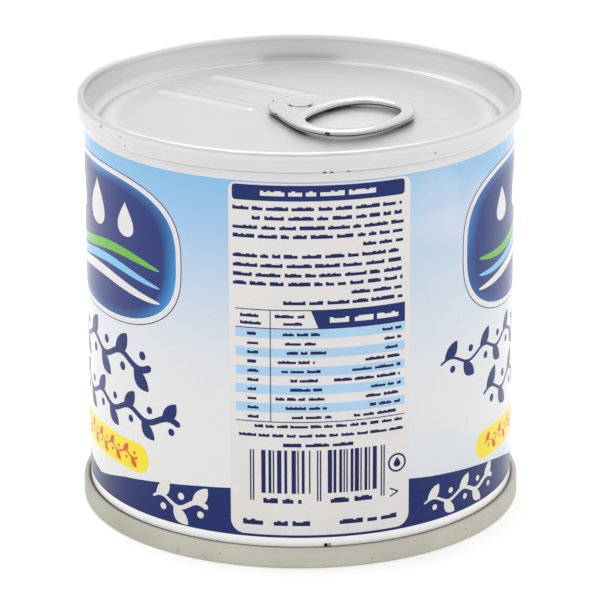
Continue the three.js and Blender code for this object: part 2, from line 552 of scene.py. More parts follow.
def garland(start: float, stop: float, foot: float, height: float, leaves: int,
            weight: float) -> tuple[Patch, list[Patch]]:
    """A leafy stem: its z is a sine wave of s, with a leaf at each crest and trough and a berry across.

    Args:
        start: left end.
        stop: right end.
        foot: height of its lowest parts.
        height: its full height.
        leaves: number of leaves, by turns above and below the stem.
        weight: the stem's width at its thick end.

    Returns:
        The stem, and its leaves and berries.
    """
    t = np.linspace(0, 1, leaves * 16)
    pitch = (stop - start) / leaves
    wave = foot + height * (0.5 + 0.12 * np.sin(np.pi * leaves * t))
    stem = stroke(np.stack([start + (stop - start) * t, wave], axis=-1), weight * (0.45 + 0.55 * t))
    growth = []
    for i in range(leaves):
        side = 1 - 2 * (i % 2)
        s = start + pitch * (i + 0.22)
        z = foot + height * (0.5 + 0.09 * side)
        growth.append(leaf(s, z, LEAF_LENGTH * height, LEAF_WIDTH * height, 90 - side * LEAF_RISE))
        berry = BERRY_RADIUS * height
        growth.append(squircle(s + 0.40 * pitch, foot + height * (0.5 - 0.20 * side), berry, berry, 2))
    return stem, growth


# Finishes

Colour = tuple[float, float, float, float]
INK_LIGHT = 0.96
# Painted shade and painted light: the colours that the metals mix towards by their depth value.
PAINTED_SHADE_COLOUR = (30, 30, 32)
PAINTED_LIGHT_COLOUR = (253, 253, 253)


def ink_colour(red: int, green: int, blue: int, light: float = 1.0) -> Colour:
    """Turns a colour of 8-bit screen values into the shader's linear ones: ((c + 0.055) / 1.055) ** 2.4.

    Args:
        red: 0 to 255.
        green: 0 to 255.
        blue: 0 to 255.
        light: what the linear values are multiplied by.

    Returns:
        The linear colour, with alpha.
    """
    share = np.array([red, green, blue]) / 255
    linear = np.where(share <= 0.04045, share / 12.92, ((share + 0.055) / 1.055) ** 2.4) * light
    return (*(float(c) for c in linear), 1.0)


class Nodes:
    """A tree of nodes, with short calls that add a node and join it to others."""

    def __init__(self, tree: bpy.types.NodeTree) -> None:
        """Takes the tree that the nodes go into."""
        self.tree = tree

    def add(self, kind: str, **settings: object) -> bpy.types.Node:
        """Adds a node and gives it its settings.

        Args:
            kind: the node's kind, as Blender names it.
            settings: its settings by name.

        Returns:
            The node.
        """
        node = self.tree.nodes.new(kind)
        for key, value in settings.items():
            setattr(node, key, value)
        return node

    def join(self, start: bpy.types.NodeSocket, stop: bpy.types.NodeSocket) -> None:
        """Links one socket to another."""
        self.tree.links.new(start, stop)

    def ranged(self, value: bpy.types.NodeSocket, start: float, stop: float, low: float,
               high: float) -> bpy.types.NodeSocket:
        """Maps values between start and stop to values between low and high, and no further.

        Args:
            value: the socket to map.
            start: the value that gives low.
            stop: the value that gives high.
            low: the result at start.
            high: the result at stop.

        Returns:
            The mapped socket.
        """
        node = self.add("ShaderNodeMapRange")
        for key, number in (("From Min", start), ("From Max", stop), ("To Min", low), ("To Max", high)):
            node.inputs[key].default_value = number
        self.join(value, node.inputs["Value"])
        return node.outputs["Result"]

    def math(self, operation: str, first: bpy.types.NodeSocket,
             second: bpy.types.NodeSocket | float = 0.0) -> bpy.types.NodeSocket:
        """Joins two values by an operation.

        Args:
            operation: the Math node's name for it.
            first: the first value's socket.
            second: the second value, as a socket or a number.

        Returns:
            The result's socket.
        """
        node = self.add("ShaderNodeMath", operation=operation)
        self.join(first, node.inputs[0])
        if isinstance(second, (int, float)):
            node.inputs[1].default_value = second
        else:
            self.join(second, node.inputs[1])
        return node.outputs[0]


class NodeSheet(Nodes):
    """A material's nodes, joined to its shader."""

    def __init__(self, name: str) -> None:
        """Starts a material with its shader.

        Args:
            name: the material's name.
        """
        self.material = bpy.data.materials.new(name)
        self.material.use_nodes = True
        super().__init__(self.material.node_tree)
        self.shader = self.tree.nodes["Principled BSDF"]

    def place(self, stretch: tuple[float, float, float] = (1, 1, 1),
              turn: float = 0.0) -> bpy.types.NodeSocket:
        """Object coordinates, turned about Z and stretched along each axis.

        Args:
            stretch: what each axis is multiplied by.
            turn: the turn about Z in degrees.

        Returns:
            The coordinates' socket.
        """
        texture = self.add("ShaderNodeTexCoord")
        mapping = self.add("ShaderNodeMapping")
        mapping.inputs["Scale"].default_value = stretch
        mapping.inputs["Rotation"].default_value = (0, 0, math.radians(turn))
        self.join(texture.outputs["Object"], mapping.inputs["Vector"])
        return mapping.outputs["Vector"]

    def noise(self, scale: float, detail: float = 2.0, stretch: tuple[float, float, float] = (1, 1, 1),
              turn: float = 0.0) -> bpy.types.NodeSocket:
        """Noise on Object coordinates.

        Args:
            scale: waves in a metre.
            detail: how many finer layers of noise it has.
            stretch: what each axis is multiplied by first.
            turn: the turn about Z in degrees.

        Returns:
            The noise's socket, from 0 to 1.
        """
        node = self.add("ShaderNodeTexNoise")
        node.inputs["Scale"].default_value = scale
        node.inputs["Detail"].default_value = detail
        self.join(self.place(stretch, turn), node.inputs["Vector"])
        return node.outputs["Fac"]

    def mixed(self, share: bpy.types.NodeSocket, first: bpy.types.NodeSocket | Colour,
              second: bpy.types.NodeSocket | Colour) -> bpy.types.NodeSocket:
        """Mixes two colours, each a socket or a plain colour.

        Args:
            share: the second colour's share, from 0 to 1.
            first: the first colour.
            second: the second colour.

        Returns:
            The mixed colour's socket.
        """
        node = self.add("ShaderNodeMix", data_type="RGBA")
        self.join(share, node.inputs["Factor"])
        for socket, colour in ((node.inputs[6], first), (node.inputs[7], second)):
            if isinstance(colour, tuple):
                socket.default_value = colour
            else:
                self.join(colour, socket)
        return node.outputs[2]

    def bump(self, height: bpy.types.NodeSocket, strength: float, distance: float) -> None:
        """Gives the shader a bump from a height.

        Args:
            height: the height's socket.
            strength: the bump's strength, from 0 to 1.
            distance: its depth in metres.
        """
        node = self.add("ShaderNodeBump")
        node.inputs["Strength"].default_value = strength
        node.inputs["Distance"].default_value = distance
        self.join(height, node.inputs["Height"])
        self.join(node.outputs["Normal"], self.shader.inputs["Normal"])

    def gloss(self, roughness: tuple[float, float], scale: float, metallic: float) -> None:
        """Gives the shader a roughness that wanders between two values, and its share of bare metal."""
        self.join(self.ranged(self.noise(scale, 3), 0.3, 0.7, *roughness), self.shader.inputs["Roughness"])
        self.shader.inputs["Metallic"].default_value = metallic

    def varnish(self) -> None:
        """Gives the shader the print's clear varnish, with its faint ripple."""
        self.gloss((0.27, 0.31), 200, 0.0)
        for key, number in (("Specular IOR Level", 0.08), ("Coat Weight", 0.38), ("Coat IOR", 1.25),
                            ("Coat Roughness", 0.15)):
            self.shader.inputs[key].default_value = number
        self.bump(self.noise(1400, 1), 0.05, 0.0001)


@dataclass(frozen=True)
class PrintInk:
    """Varnished ink on tinplate: a colour with a faint mottle, and a fine ripple in the varnish.

    Args:
        name: the material's name.
        colour: 8-bit screen values of the ink as the lit can shows it.
        mottle: how much darker the ink's weak spots are, as a share.
    """

    name: str
    colour: tuple[int, int, int]
    mottle: float = 0.05

    def material(self) -> bpy.types.Material:
        """Returns the ink's material."""
        sheet = NodeSheet(self.name)
        full = ink_colour(*self.colour, light=INK_LIGHT)
        weak = ink_colour(*self.colour, light=INK_LIGHT * (1 - self.mottle))
        share = sheet.ranged(sheet.noise(170, 4), 0.35, 0.65, 0, 1)
        sheet.join(sheet.mixed(share, full, weak), sheet.shader.inputs["Base Color"])
        sheet.varnish()
        return sheet.material


@dataclass(frozen=True)
class SkyPrint:
    """The wall's own print: sky blue under the lid that fades to white, with soft cloud on one side.

    Args:
        name: the material's name.
        stops: a height and the sky's 8-bit screen values there, from the foot up.
        cloud: 8-bit screen values of the cloud.
        bank: where the cloud starts and is full, in metres along X.
    """

    name: str = "sky_print"
    stops: tuple[tuple[float, tuple[int, int, int]], ...] = (
        (16.0, (226, 225, 223)),
        (30.0, (221, 221, 223)),
        (39.0, (201, 212, 224)),
        (48.0, (169, 198, 226)),
        (57.9, (120, 184, 226)),
    )
    cloud: tuple[int, int, int] = (209, 216, 224)
    bank: tuple[float, float] = (0.004, 0.024)

    def material(self) -> bpy.types.Material:
        """Returns the wall's material: a ramp over the height, veiled by cloud from noise."""
        sheet = NodeSheet(self.name)
        split = sheet.add("ShaderNodeSeparateXYZ")
        sheet.join(sheet.place(), split.inputs[0])
        top = CAN.height * MILLIMETRE
        height = sheet.ranged(split.outputs["Z"], 0, top, 0, 1)
        ramp = sheet.add("ShaderNodeValToRGB")
        ramp.color_ramp.interpolation = "B_SPLINE"
        marks = ramp.color_ramp.elements
        while len(marks) < len(self.stops):
            marks.new(0.5)
        for mark, (z, colour) in zip(marks, self.stops):
            mark.position = z / CAN.height
            mark.color = ink_colour(*colour, light=INK_LIGHT)
        sheet.join(height, ramp.inputs["Fac"])
        cloud = sheet.ranged(sheet.noise(38, 4, stretch=(1, 1, 1.7)), 0.44, 0.66, 0, 0.75)
        bank = sheet.ranged(split.outputs["X"], *self.bank, 0.12, 1.0)
        veil = sheet.math("ADD", sheet.math("MULTIPLY", cloud, bank), sheet.math("MULTIPLY", bank, 0.18))
        white = ink_colour(*self.cloud, light=INK_LIGHT)
        sheet.join(sheet.mixed(veil, ramp.outputs["Color"], white), sheet.shader.inputs["Base Color"])
        sheet.varnish()
        return sheet.material


@dataclass(frozen=True)
class GlowField:
    """The badge's field: dark blue in the middle that lightens towards parts of its edge."""

    name: str = "badge_field"
    dark: tuple[int, int, int] = (44, 58, 120)
    glow: tuple[int, int, int] = (66, 150, 214)

    def material(self) -> bpy.types.Material:
        """Returns the field's material, which reads how deep a point lies inside the badge."""
        sheet = NodeSheet(self.name)
        depth = sheet.add("ShaderNodeAttribute", attribute_name="depth")
        near = sheet.ranged(depth.outputs["Fac"], 0.0, 0.13, 1.0, 0.0)
        patchy = sheet.ranged(sheet.noise(45, 1), 0.40, 0.60, 0.25, 1.0)
        share = sheet.math("MULTIPLY", near, patchy)
        colour = sheet.mixed(share, ink_colour(*self.dark, light=INK_LIGHT),
                             ink_colour(*self.glow, light=INK_LIGHT))
        sheet.join(colour, sheet.shader.inputs["Base Color"])
        sheet.varnish()
        return sheet.material


@dataclass(frozen=True)
class SatinMetal:
    """Rolled sheet metal: a satin sheen with fine grain one way, cloudy patches and a few dark specks.

    Args:
        name: the material's name.
        colour: 8-bit screen values of the metal.
        stain: 8-bit screen values of its dull patches and specks.
        roughness: the least and the greatest roughness.
        metallic: how much it shines as bare metal, from 0 to 1.
        grain: direction of the grain in degrees from +X.
        specks: the noise level past which a speck shows; 1 shows none.
        folded: whether the depth value at each point is painted shade there, mixing towards near-black, or,
        below 0, painted light, mixing towards white.
    """

    name: str
    colour: tuple[int, int, int]
    stain: tuple[int, int, int]
    roughness: tuple[float, float] = (0.28, 0.40)
    metallic: float = 0.9
    grain: float = 20.0
    specks: float = 0.74
    folded: bool = False

    def material(self) -> bpy.types.Material:
        """Returns the metal's material."""
        sheet = NodeSheet(self.name)
        cloudy = sheet.ranged(sheet.noise(90, 3), 0.35, 0.65, 0.0, 0.35)
        specks = sheet.ranged(sheet.noise(650, 2), self.specks, self.specks + 0.04, 0.0, 0.8)
        share = sheet.math("MAXIMUM", cloudy, specks)
        metal = sheet.mixed(share, ink_colour(*self.colour), ink_colour(*self.stain))
        # Painted shade: the depth value mixes the metal towards near-black; below 0 it is painted light,
        # towards white.
        if self.folded:
            painted_tone = sheet.add("ShaderNodeAttribute", attribute_name="depth")
            metal = sheet.mixed(painted_tone.outputs["Fac"], metal, ink_colour(*PAINTED_SHADE_COLOUR))
            painted_light_share = sheet.math("MULTIPLY", painted_tone.outputs["Fac"], -1.0)
            metal = sheet.mixed(painted_light_share, metal, ink_colour(*PAINTED_LIGHT_COLOUR))
        sheet.join(metal, sheet.shader.inputs["Base Color"])
        sheet.gloss(self.roughness, 160, self.metallic)
        streaks = sheet.noise(900, 2, stretch=(0.06, 1, 1), turn=self.grain)
        sheet.bump(streaks, 0.10, 0.00006)
        return sheet.material


Finish = PrintInk | SkyPrint | GlowField | SatinMetal

PANEL_WHITE = PrintInk("panel_white", (223, 220, 218), 0.03)
MARGIN_WHITE = PrintInk("margin_white", (223, 221, 219), 0.03)
NAVY = PrintInk("navy_ink", (30, 46, 106), 0.10)
FINE_NAVY = PrintInk("fine_navy_ink", (26, 36, 88), 0.12)
TABLE_BLUE = PrintInk("table_blue", (168, 205, 233))
WARM_YELLOW = PrintInk("warm_yellow", (243, 222, 50))
BRICK_RED = PrintInk("brick_red", (214, 96, 52))
LEAF_GREEN = PrintInk("meadow_green", (110, 184, 72))
WATER_BLUE = PrintInk("water_blue", (130, 192, 232))
TEST_BLACK = PrintInk("test_black", (34, 30, 30))
TEST_TAN = PrintInk("test_tan", (200, 160, 120))
LID_METAL = SatinMetal("lid_metal", (203, 203, 203), (196, 196, 195), (0.29, 0.35), 0.58, 18.0, 0.74, True)
BASE_METAL = SatinMetal("base_metal", (196, 194, 180), (170, 166, 152), (0.42, 0.55), 0.5, 80.0, 0.70, True)
TAB_METAL = SatinMetal("tab_metal", (214, 214, 215), (206, 206, 206), (0.22, 0.28), 0.92, -39.0, 0.80, True)
LIGHT_SCRATCH = SatinMetal("light_scratch", (236, 236, 236), (226, 226, 226), (0.3, 0.4), 0.3, -40.0, 0.90)
RIVET_METAL = SatinMetal("rivet_metal", (203, 203, 203), (197, 197, 197), (0.24, 0.32), 0.88, 10.0, 0.80)
# Dark ink for the seams' dirt and for the painted shade specks on tab and rivet.
DARK_DIRT_AND_SHADE = PrintInk("dark_dirt", (70, 64, 58), 0.3)
SCORE_METAL = SatinMetal("score_metal", (200, 200, 200), (192, 192, 192), (0.3, 0.4), 0.5, 144.0, 0.80)
# Painted light: the foot margin's white is much lighter than the top margin's, to offset the shade low on
# the wall.
FOOT_WHITE_PAINTED_LIGHT = PrintInk("foot_white", (252, 251, 249), 0.02)


# The can's pieces


@dataclass
class CanWall:
    """The can's wall with its milk: one closed body, stepped in at both ends under the seams."""

    steps: int = 512
    row_height: float = 1.6

    def surface(self) -> Surface:
        """Returns the wall: its profile turned about the axis."""
        top = CAN.height - CAN.seam_height
        side = np.array([[CAN.body_radius, CAN.seam_height], [CAN.body_radius, top]])
        side = finer(side, self.row_height)
        return turned(np.concatenate([
            [[0, CAN.base_inside], [CAN.core_radius, CAN.base_inside], [CAN.core_radius, CAN.seam_height]],
            side,
            [[CAN.core_radius, top], [CAN.core_radius, CAN.lid_underside], [0, CAN.lid_underside]],
        ]), self.steps)

    def build(self) -> None:
        """Makes the wall in its sky print, in place of the model's plain body."""
        wall = make_piece("can_wall", self.surface(), SkyPrint().material())
        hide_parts("can_body")


@dataclass
class LidEnd:
    """The lid: seam, chuck wall, countersink and shoulder, with a panel that carries the pressed relief.

    Args:
        tab: the ring tab, which shades the panel under it.
    """

    tab: "RingTab"
    steps: int = 480
    rings: int = 108
    wall_foot: float = 30.75
    sink_radius: float = 29.85
    sink_depth: float = 4.6
    sink_width: float = 1.2
    shoulder_radius: float = 28.5
    shoulder_rise: float = 0.06
    crest_rounding: float = 0.6
    inner_rounding: float = 0.52
    strip_angle: float = 144.0
    ridges: tuple[tuple[float, float], ...] = ((9.8, 5.5), (-1.3, 8.1))
    ridge_reach: float = 24.6
    ridge_width: float = 1.9
    ridge_rise: float = 0.27
    bar_place: tuple[float, float] = (18.2, -2.9)
    bar_length: float = 3.6
    bar_width: float = 0.7
    bar_rise: float = 0.12
    boss_foot: float = 4.6
    boss_top: float = 3.1
    sag: float = 0.05
    sag_fade: tuple[float, float] = (20, 26)
    far_side: tuple[float, float] = (6, 24)
    # Painted shade and painted light on the seam's crest.
    crest_tone: float = 0.12
    far_crest_highlight: float = 0.95
    # Painted highlight on the chuck wall.
    chuck_highlight: float = 0.28
    # Painted shade in the countersink.
    sink_shade: float = 0.42
    # Painted highlight on the shoulder.
    shoulder_highlight: float = 0.27
    # Painted dark reflection low on the chuck wall's far side: its ends along X, then its strength.
    patch: tuple[float, float] = (-7.0, 8.4)
    dark_reflection_tone: float = 0.36
    # Painted shade on the panel under the tab.
    under_tab_shade: float = 0.5
    # Painted highlight on the panel inside the tab's loop.
    loop_highlight: float = 0.18
    seam_waves: tuple[tuple[float, float, float], ...] = ((0.022, 23, 0), (0.016, 37, 1.3))
    seam_sink: float = 0.04
    wave_band: tuple[float, float] = (32.3, 32.6)

    def rim(self) -> np.ndarray:
        """Returns radius and height from the underside's middle over the seam to the panel's edge."""
        top, panel = CAN.height, CAN.panel_height
        outer, inner = CAN.seam_radius, CAN.seam_radius - CAN.seam_thickness
        low = top - CAN.seam_height
        sink = top - self.sink_depth
        half = self.sink_width / 2
        bend, turn = self.crest_rounding, self.inner_rounding
        outside = rounded_line([
            (CAN.core_radius, low, 0), (outer - CAN.seam_lip, low, 0),
            (outer, low + CAN.seam_lip, 0.25), (outer, top - bend, 0),
        ])
        inside = rounded_line([
            (inner, top - turn, 0), (inner - 0.03, top - 1.3, 0.5), (self.wall_foot, sink + half, 0.7),
            (self.sink_radius + 0.1, sink, 0.6), (self.sink_radius - half, sink + half / 3, 0.4),
            (self.shoulder_radius + 0.5, panel - 0.06, 0.5),
            (self.shoulder_radius - 0.2, panel + self.shoulder_rise, 0.7),
            (self.shoulder_radius - 1.5, panel + 0.03, 0.6), (self.shoulder_radius - 2.7, panel, 0.4),
            (self.shoulder_radius - 3.2, panel, 0),
        ])
        return np.concatenate([
            [[0, CAN.lid_underside], [CAN.core_radius, CAN.lid_underside]],
            finer(outside, 0.8),
            arc(outer - bend, top - bend, bend, 0, 90)[1:],
            arc(inner + turn, top - turn, turn, 90, 180),
            finer(inside, 0.5)[1:],
        ])

    def relief(self, x: np.ndarray, y: np.ndarray) -> np.ndarray:
        """Height of the pressed relief over the flat panel.

        A ridge or bar adds its rise times half of 1 plus the cosine of pi times the distance from its
        middle line over its half width. The boss adds a smooth step of the distance from the rivet. The
        panel sags by a sine of x times a cosine of y, which fades out towards the shoulder.

        Args:
            x: places along X.
            y: places along Y.

        Returns:
            The height at each place.
        """
        angle = math.radians(self.strip_angle)
        along = np.array([math.cos(angle), math.sin(angle)])
        across = np.array([along[1], -along[0]])
        raised = np.zeros_like(x)
        bar = np.array([self.bar_length, 0])
        lines = [(np.array(self.bar_place), bar, self.bar_width, self.bar_rise)]
        for offset, start in self.ridges:
            stop = math.sqrt(self.ridge_reach**2 - offset**2)
            foot, run = across * offset + along * start, along * (stop - start)
            lines.append((foot, run, self.ridge_width, self.ridge_rise))
        for foot, run, width, rise in lines:
            t = np.clip(((x - foot[0]) * run[0] + (y - foot[1]) * run[1]) / (run @ run), 0, 1)
            gap = np.hypot(x - foot[0] - t * run[0], y - foot[1] - t * run[1])
            near = np.clip(gap / (width / 2 + 0.5), 0, 1)
            raised = np.maximum(raised, rise * (0.5 + 0.5 * np.cos(np.pi * near)))
        from_rivet = np.hypot(x - CAN.rivet_place[0], y - CAN.rivet_place[1])
        boss = CAN.boss_rise * (1 - smooth_step(from_rivet, self.boss_top, self.boss_foot))
        sag = self.sag * np.sin(0.21 * x + 0.7) * np.cos(0.19 * y - 0.4)
        return np.maximum(raised, boss) + sag * (1 - smooth_step(np.hypot(x, y), *self.sag_fade))

    def crest_values(self, out: np.ndarray, y: np.ndarray) -> np.ndarray:
        """Painted light and shade on the seam's crest: a little darker at the sides, darker at the far side
        with a painted highlight on its inner half there, and lighter at the near side.

        Args:
            out: distances from the axis.
            y: places along Y.

        Returns:
            The value at each.
        """
        far, near = smooth_step(y, *self.far_side), smooth_step(-y, *self.far_side)
        highlit = (1 - smooth_step(out, CAN.seam_radius - 0.45, CAN.seam_radius - 0.2)) * far
        return self.crest_tone * (1 + 2 * far - 2 * near) * (1 - highlit) - self.far_crest_highlight * highlit

    def dark_reflection_share(self, x: np.ndarray, y: np.ndarray, z: np.ndarray) -> np.ndarray:
        """The painted dark reflection low on the chuck wall's far side: a window in x times a smooth step
        of z.

        Args:
            x: places along X.
            y: places along Y.
            z: heights.

        Returns:
            Shares that are 1 well inside the patch.
        """
        left, right = self.patch
        window = smooth_step(x, left, left + 2.0) * (1 - smooth_step(x, right - 4.5, right)) * (y > 0)
        return window * (1 - smooth_step(z, CAN.height - 3.5, CAN.height - 2.7))

    def shoulder_share(self, out: np.ndarray) -> np.ndarray:
        """The shoulder's ring: a smooth step of the distance from the axis up, and one down.

        Args:
            out: distances from the axis.

        Returns:
            Shares that are 1 on the shoulder.
        """
        inside = smooth_step(out, self.shoulder_radius - 2.3, self.shoulder_radius - 0.7)
        return inside * (1 - smooth_step(out, self.shoulder_radius + 0.5, self.shoulder_radius + 0.9))

    def tone(self, points: np.ndarray) -> np.ndarray:
        """How much painted shade or painted light the lid's colour carries, zone by zone.

        The chuck wall carries a painted highlight, more so at the sides. The shoulder carries a painted
        highlight by a smooth step of the share of x in the distance from the axis, and the sink carries
        painted shade but for that share. A painted dark reflection lies low on the chuck wall's far side.
        The panel carries painted shade under the tab and a painted highlight in its loop.

        Args:
            points: places on the lid.

        Returns:
            A value at each: above 0 it is painted shade, darker than plain metal, below 0 painted light,
                brighter.
        """
        x, y, z = points.T
        out = np.hypot(x, y)
        crest = smooth_step(z, CAN.height - 1.1, CAN.height - 0.8)
        chuck = (out > self.sink_radius) & (out < CAN.seam_radius - 0.9)
        sink = (out > self.shoulder_radius) & (out < self.wall_foot + 0.1)
        sink = sink * (1 - smooth_step(z, CAN.panel_height - 0.1, CAN.panel_height + 0.2))
        panel = (out < self.shoulder_radius - 1) & (z > CAN.panel_height - 0.5)
        aside = smooth_step(np.abs(x) / np.maximum(out, 1), 0.35, 0.85)
        side = x / CAN.seam_radius
        under, inside = self.tab.covers(x, y)
        return (crest * self.crest_values(out, y)
                - self.chuck_highlight * (1 + 0.4 * side**2 + 0.1 * side) * chuck * (1 - crest)
                - self.shoulder_highlight * (self.shoulder_share(out) * aside)
                + self.dark_reflection_tone * self.dark_reflection_share(x, y, z) * chuck * (1 - 0.5 * sink)
                + self.sink_shade * sink * (1 - 0.8 * aside)
                + panel * (self.under_tab_shade * under - self.loop_highlight * inside))

    def surface(self) -> Surface:
        """Returns the lid: the rim's profile and the panel's rings turned, with the relief on the panel.

        The seam's outside waves in and out by two sines of the angle, as the seaming roll leaves it.
        """
        rim = self.rim()
        radii = np.linspace(rim[-1, 0], 0, self.rings)[1:]
        panel = np.stack([radii, 0 * radii + CAN.panel_height], axis=-1)
        lid = turned(np.concatenate([rim, panel]), self.steps)
        x, y, z = lid.points.T
        out = np.hypot(x, y)
        on_panel = (z > CAN.panel_height - 1e-6) & (out < rim[-1, 0] + 1e-6)
        low = CAN.height - CAN.seam_height
        # Painted shade and painted light on the lid, zone by zone, carried as the depth value.
        lid.values = self.tone(lid.points)
        around = np.arctan2(y, x)
        wave = sum(size * np.sin(count * around + start) for size, count, start in self.seam_waves)
        wave = (wave - self.seam_sink) * smooth_step(out, *self.wave_band)
        wave = wave * smooth_step(z, low + 0.2, low + 0.7)
        lid.points[:, :2] *= (1 + wave / np.maximum(out, 1))[:, None]
        lid.points[:, 2] += np.where(on_panel, self.relief(x, y), 0)
        return lid

    def build(self) -> None:
        """Makes the lid in place of the model's."""
        lid = make_piece("lid", self.surface(), LID_METAL.material(), 60)
        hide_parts("top_end")


@dataclass
class BaseEnd:
    """The base: the same seam upside down, a groove inside it and a panel with pressed rings."""

    steps: int = 360
    panel: float = 3.7
    groove_height: float = 3.0
    groove_radius: float = 29.85
    groove_width: float = 1.3
    wall_radius: float = 30.7
    rounding: float = 0.4
    ring_radii: tuple[float, float] = (20.5, 23.5)
    ring_depth: float = 0.45
    ring_width: float = 1.6
    # Painted shade in the crease under the wall.
    crease_shade: float = 0.9
    fold_band: tuple[float, float] = (31.8, 32.2)
    # Painted shade towards -X.
    side_shade: float = 0.17

    def surface(self) -> Surface:
        """Returns the base: its section turned, where a pressed ring dips as a cosine over its width.

        The colour carries painted shade in the crease under the wall and, by a smooth step of x, on one
        side.
        """
        outer, inner = CAN.seam_radius, CAN.seam_radius - CAN.seam_thickness
        half = self.groove_width / 2
        radii = np.linspace(0, self.groove_radius - 2 * half, 90)
        dip = sum(
            np.where(np.abs(radii - r) < self.ring_width / 2,
                     0.5 + 0.5 * np.cos(2 * np.pi * (radii - r) / self.ring_width), 0)
            for r in self.ring_radii
        )
        flat = np.stack([radii, self.panel - self.ring_depth * dip], axis=-1)
        edge = rounded_line([
            (self.groove_radius - 2 * half, self.panel, 0),
            (self.groove_radius - half, self.groove_height + half / 3, 0.4),
            (self.groove_radius, self.groove_height, 0.3),
            (self.wall_radius, self.groove_height - half / 3, 0.4),
            (inner, self.rounding, 0),
        ])
        outside = rounded_line([
            (outer, self.rounding, 0), (outer, CAN.seam_height - CAN.seam_lip, 0.3),
            (outer - CAN.seam_lip, CAN.seam_height, 0), (CAN.core_radius, CAN.seam_height, 0),
        ])
        base = turned(np.concatenate([
            flat, finer(edge, 0.5)[1:],
            arc(inner + self.rounding, self.rounding, self.rounding, 180, 270)[1:],
            arc(outer - self.rounding, self.rounding, self.rounding, 270, 360),
            finer(outside, 0.3)[1:],
            [[CAN.core_radius, CAN.base_inside], [0, CAN.base_inside]],
        ]), self.steps)
        x, y, z = base.points.T
        on_top = np.abs(z - CAN.seam_height) < 0.01
        near, away = self.fold_band
        painted_tone = smooth_step(-np.hypot(x, y), -away, -near) * on_top
        # Painted shade in the crease and towards -X.
        base.values = self.crease_shade * painted_tone + self.side_shade * smooth_step(-x, 12, 30)
        return base

    def build(self) -> None:
        """Makes the base in place of the model's."""
        base = make_piece("base", self.surface(), BASE_METAL.material(), 50)
        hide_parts("base_end")


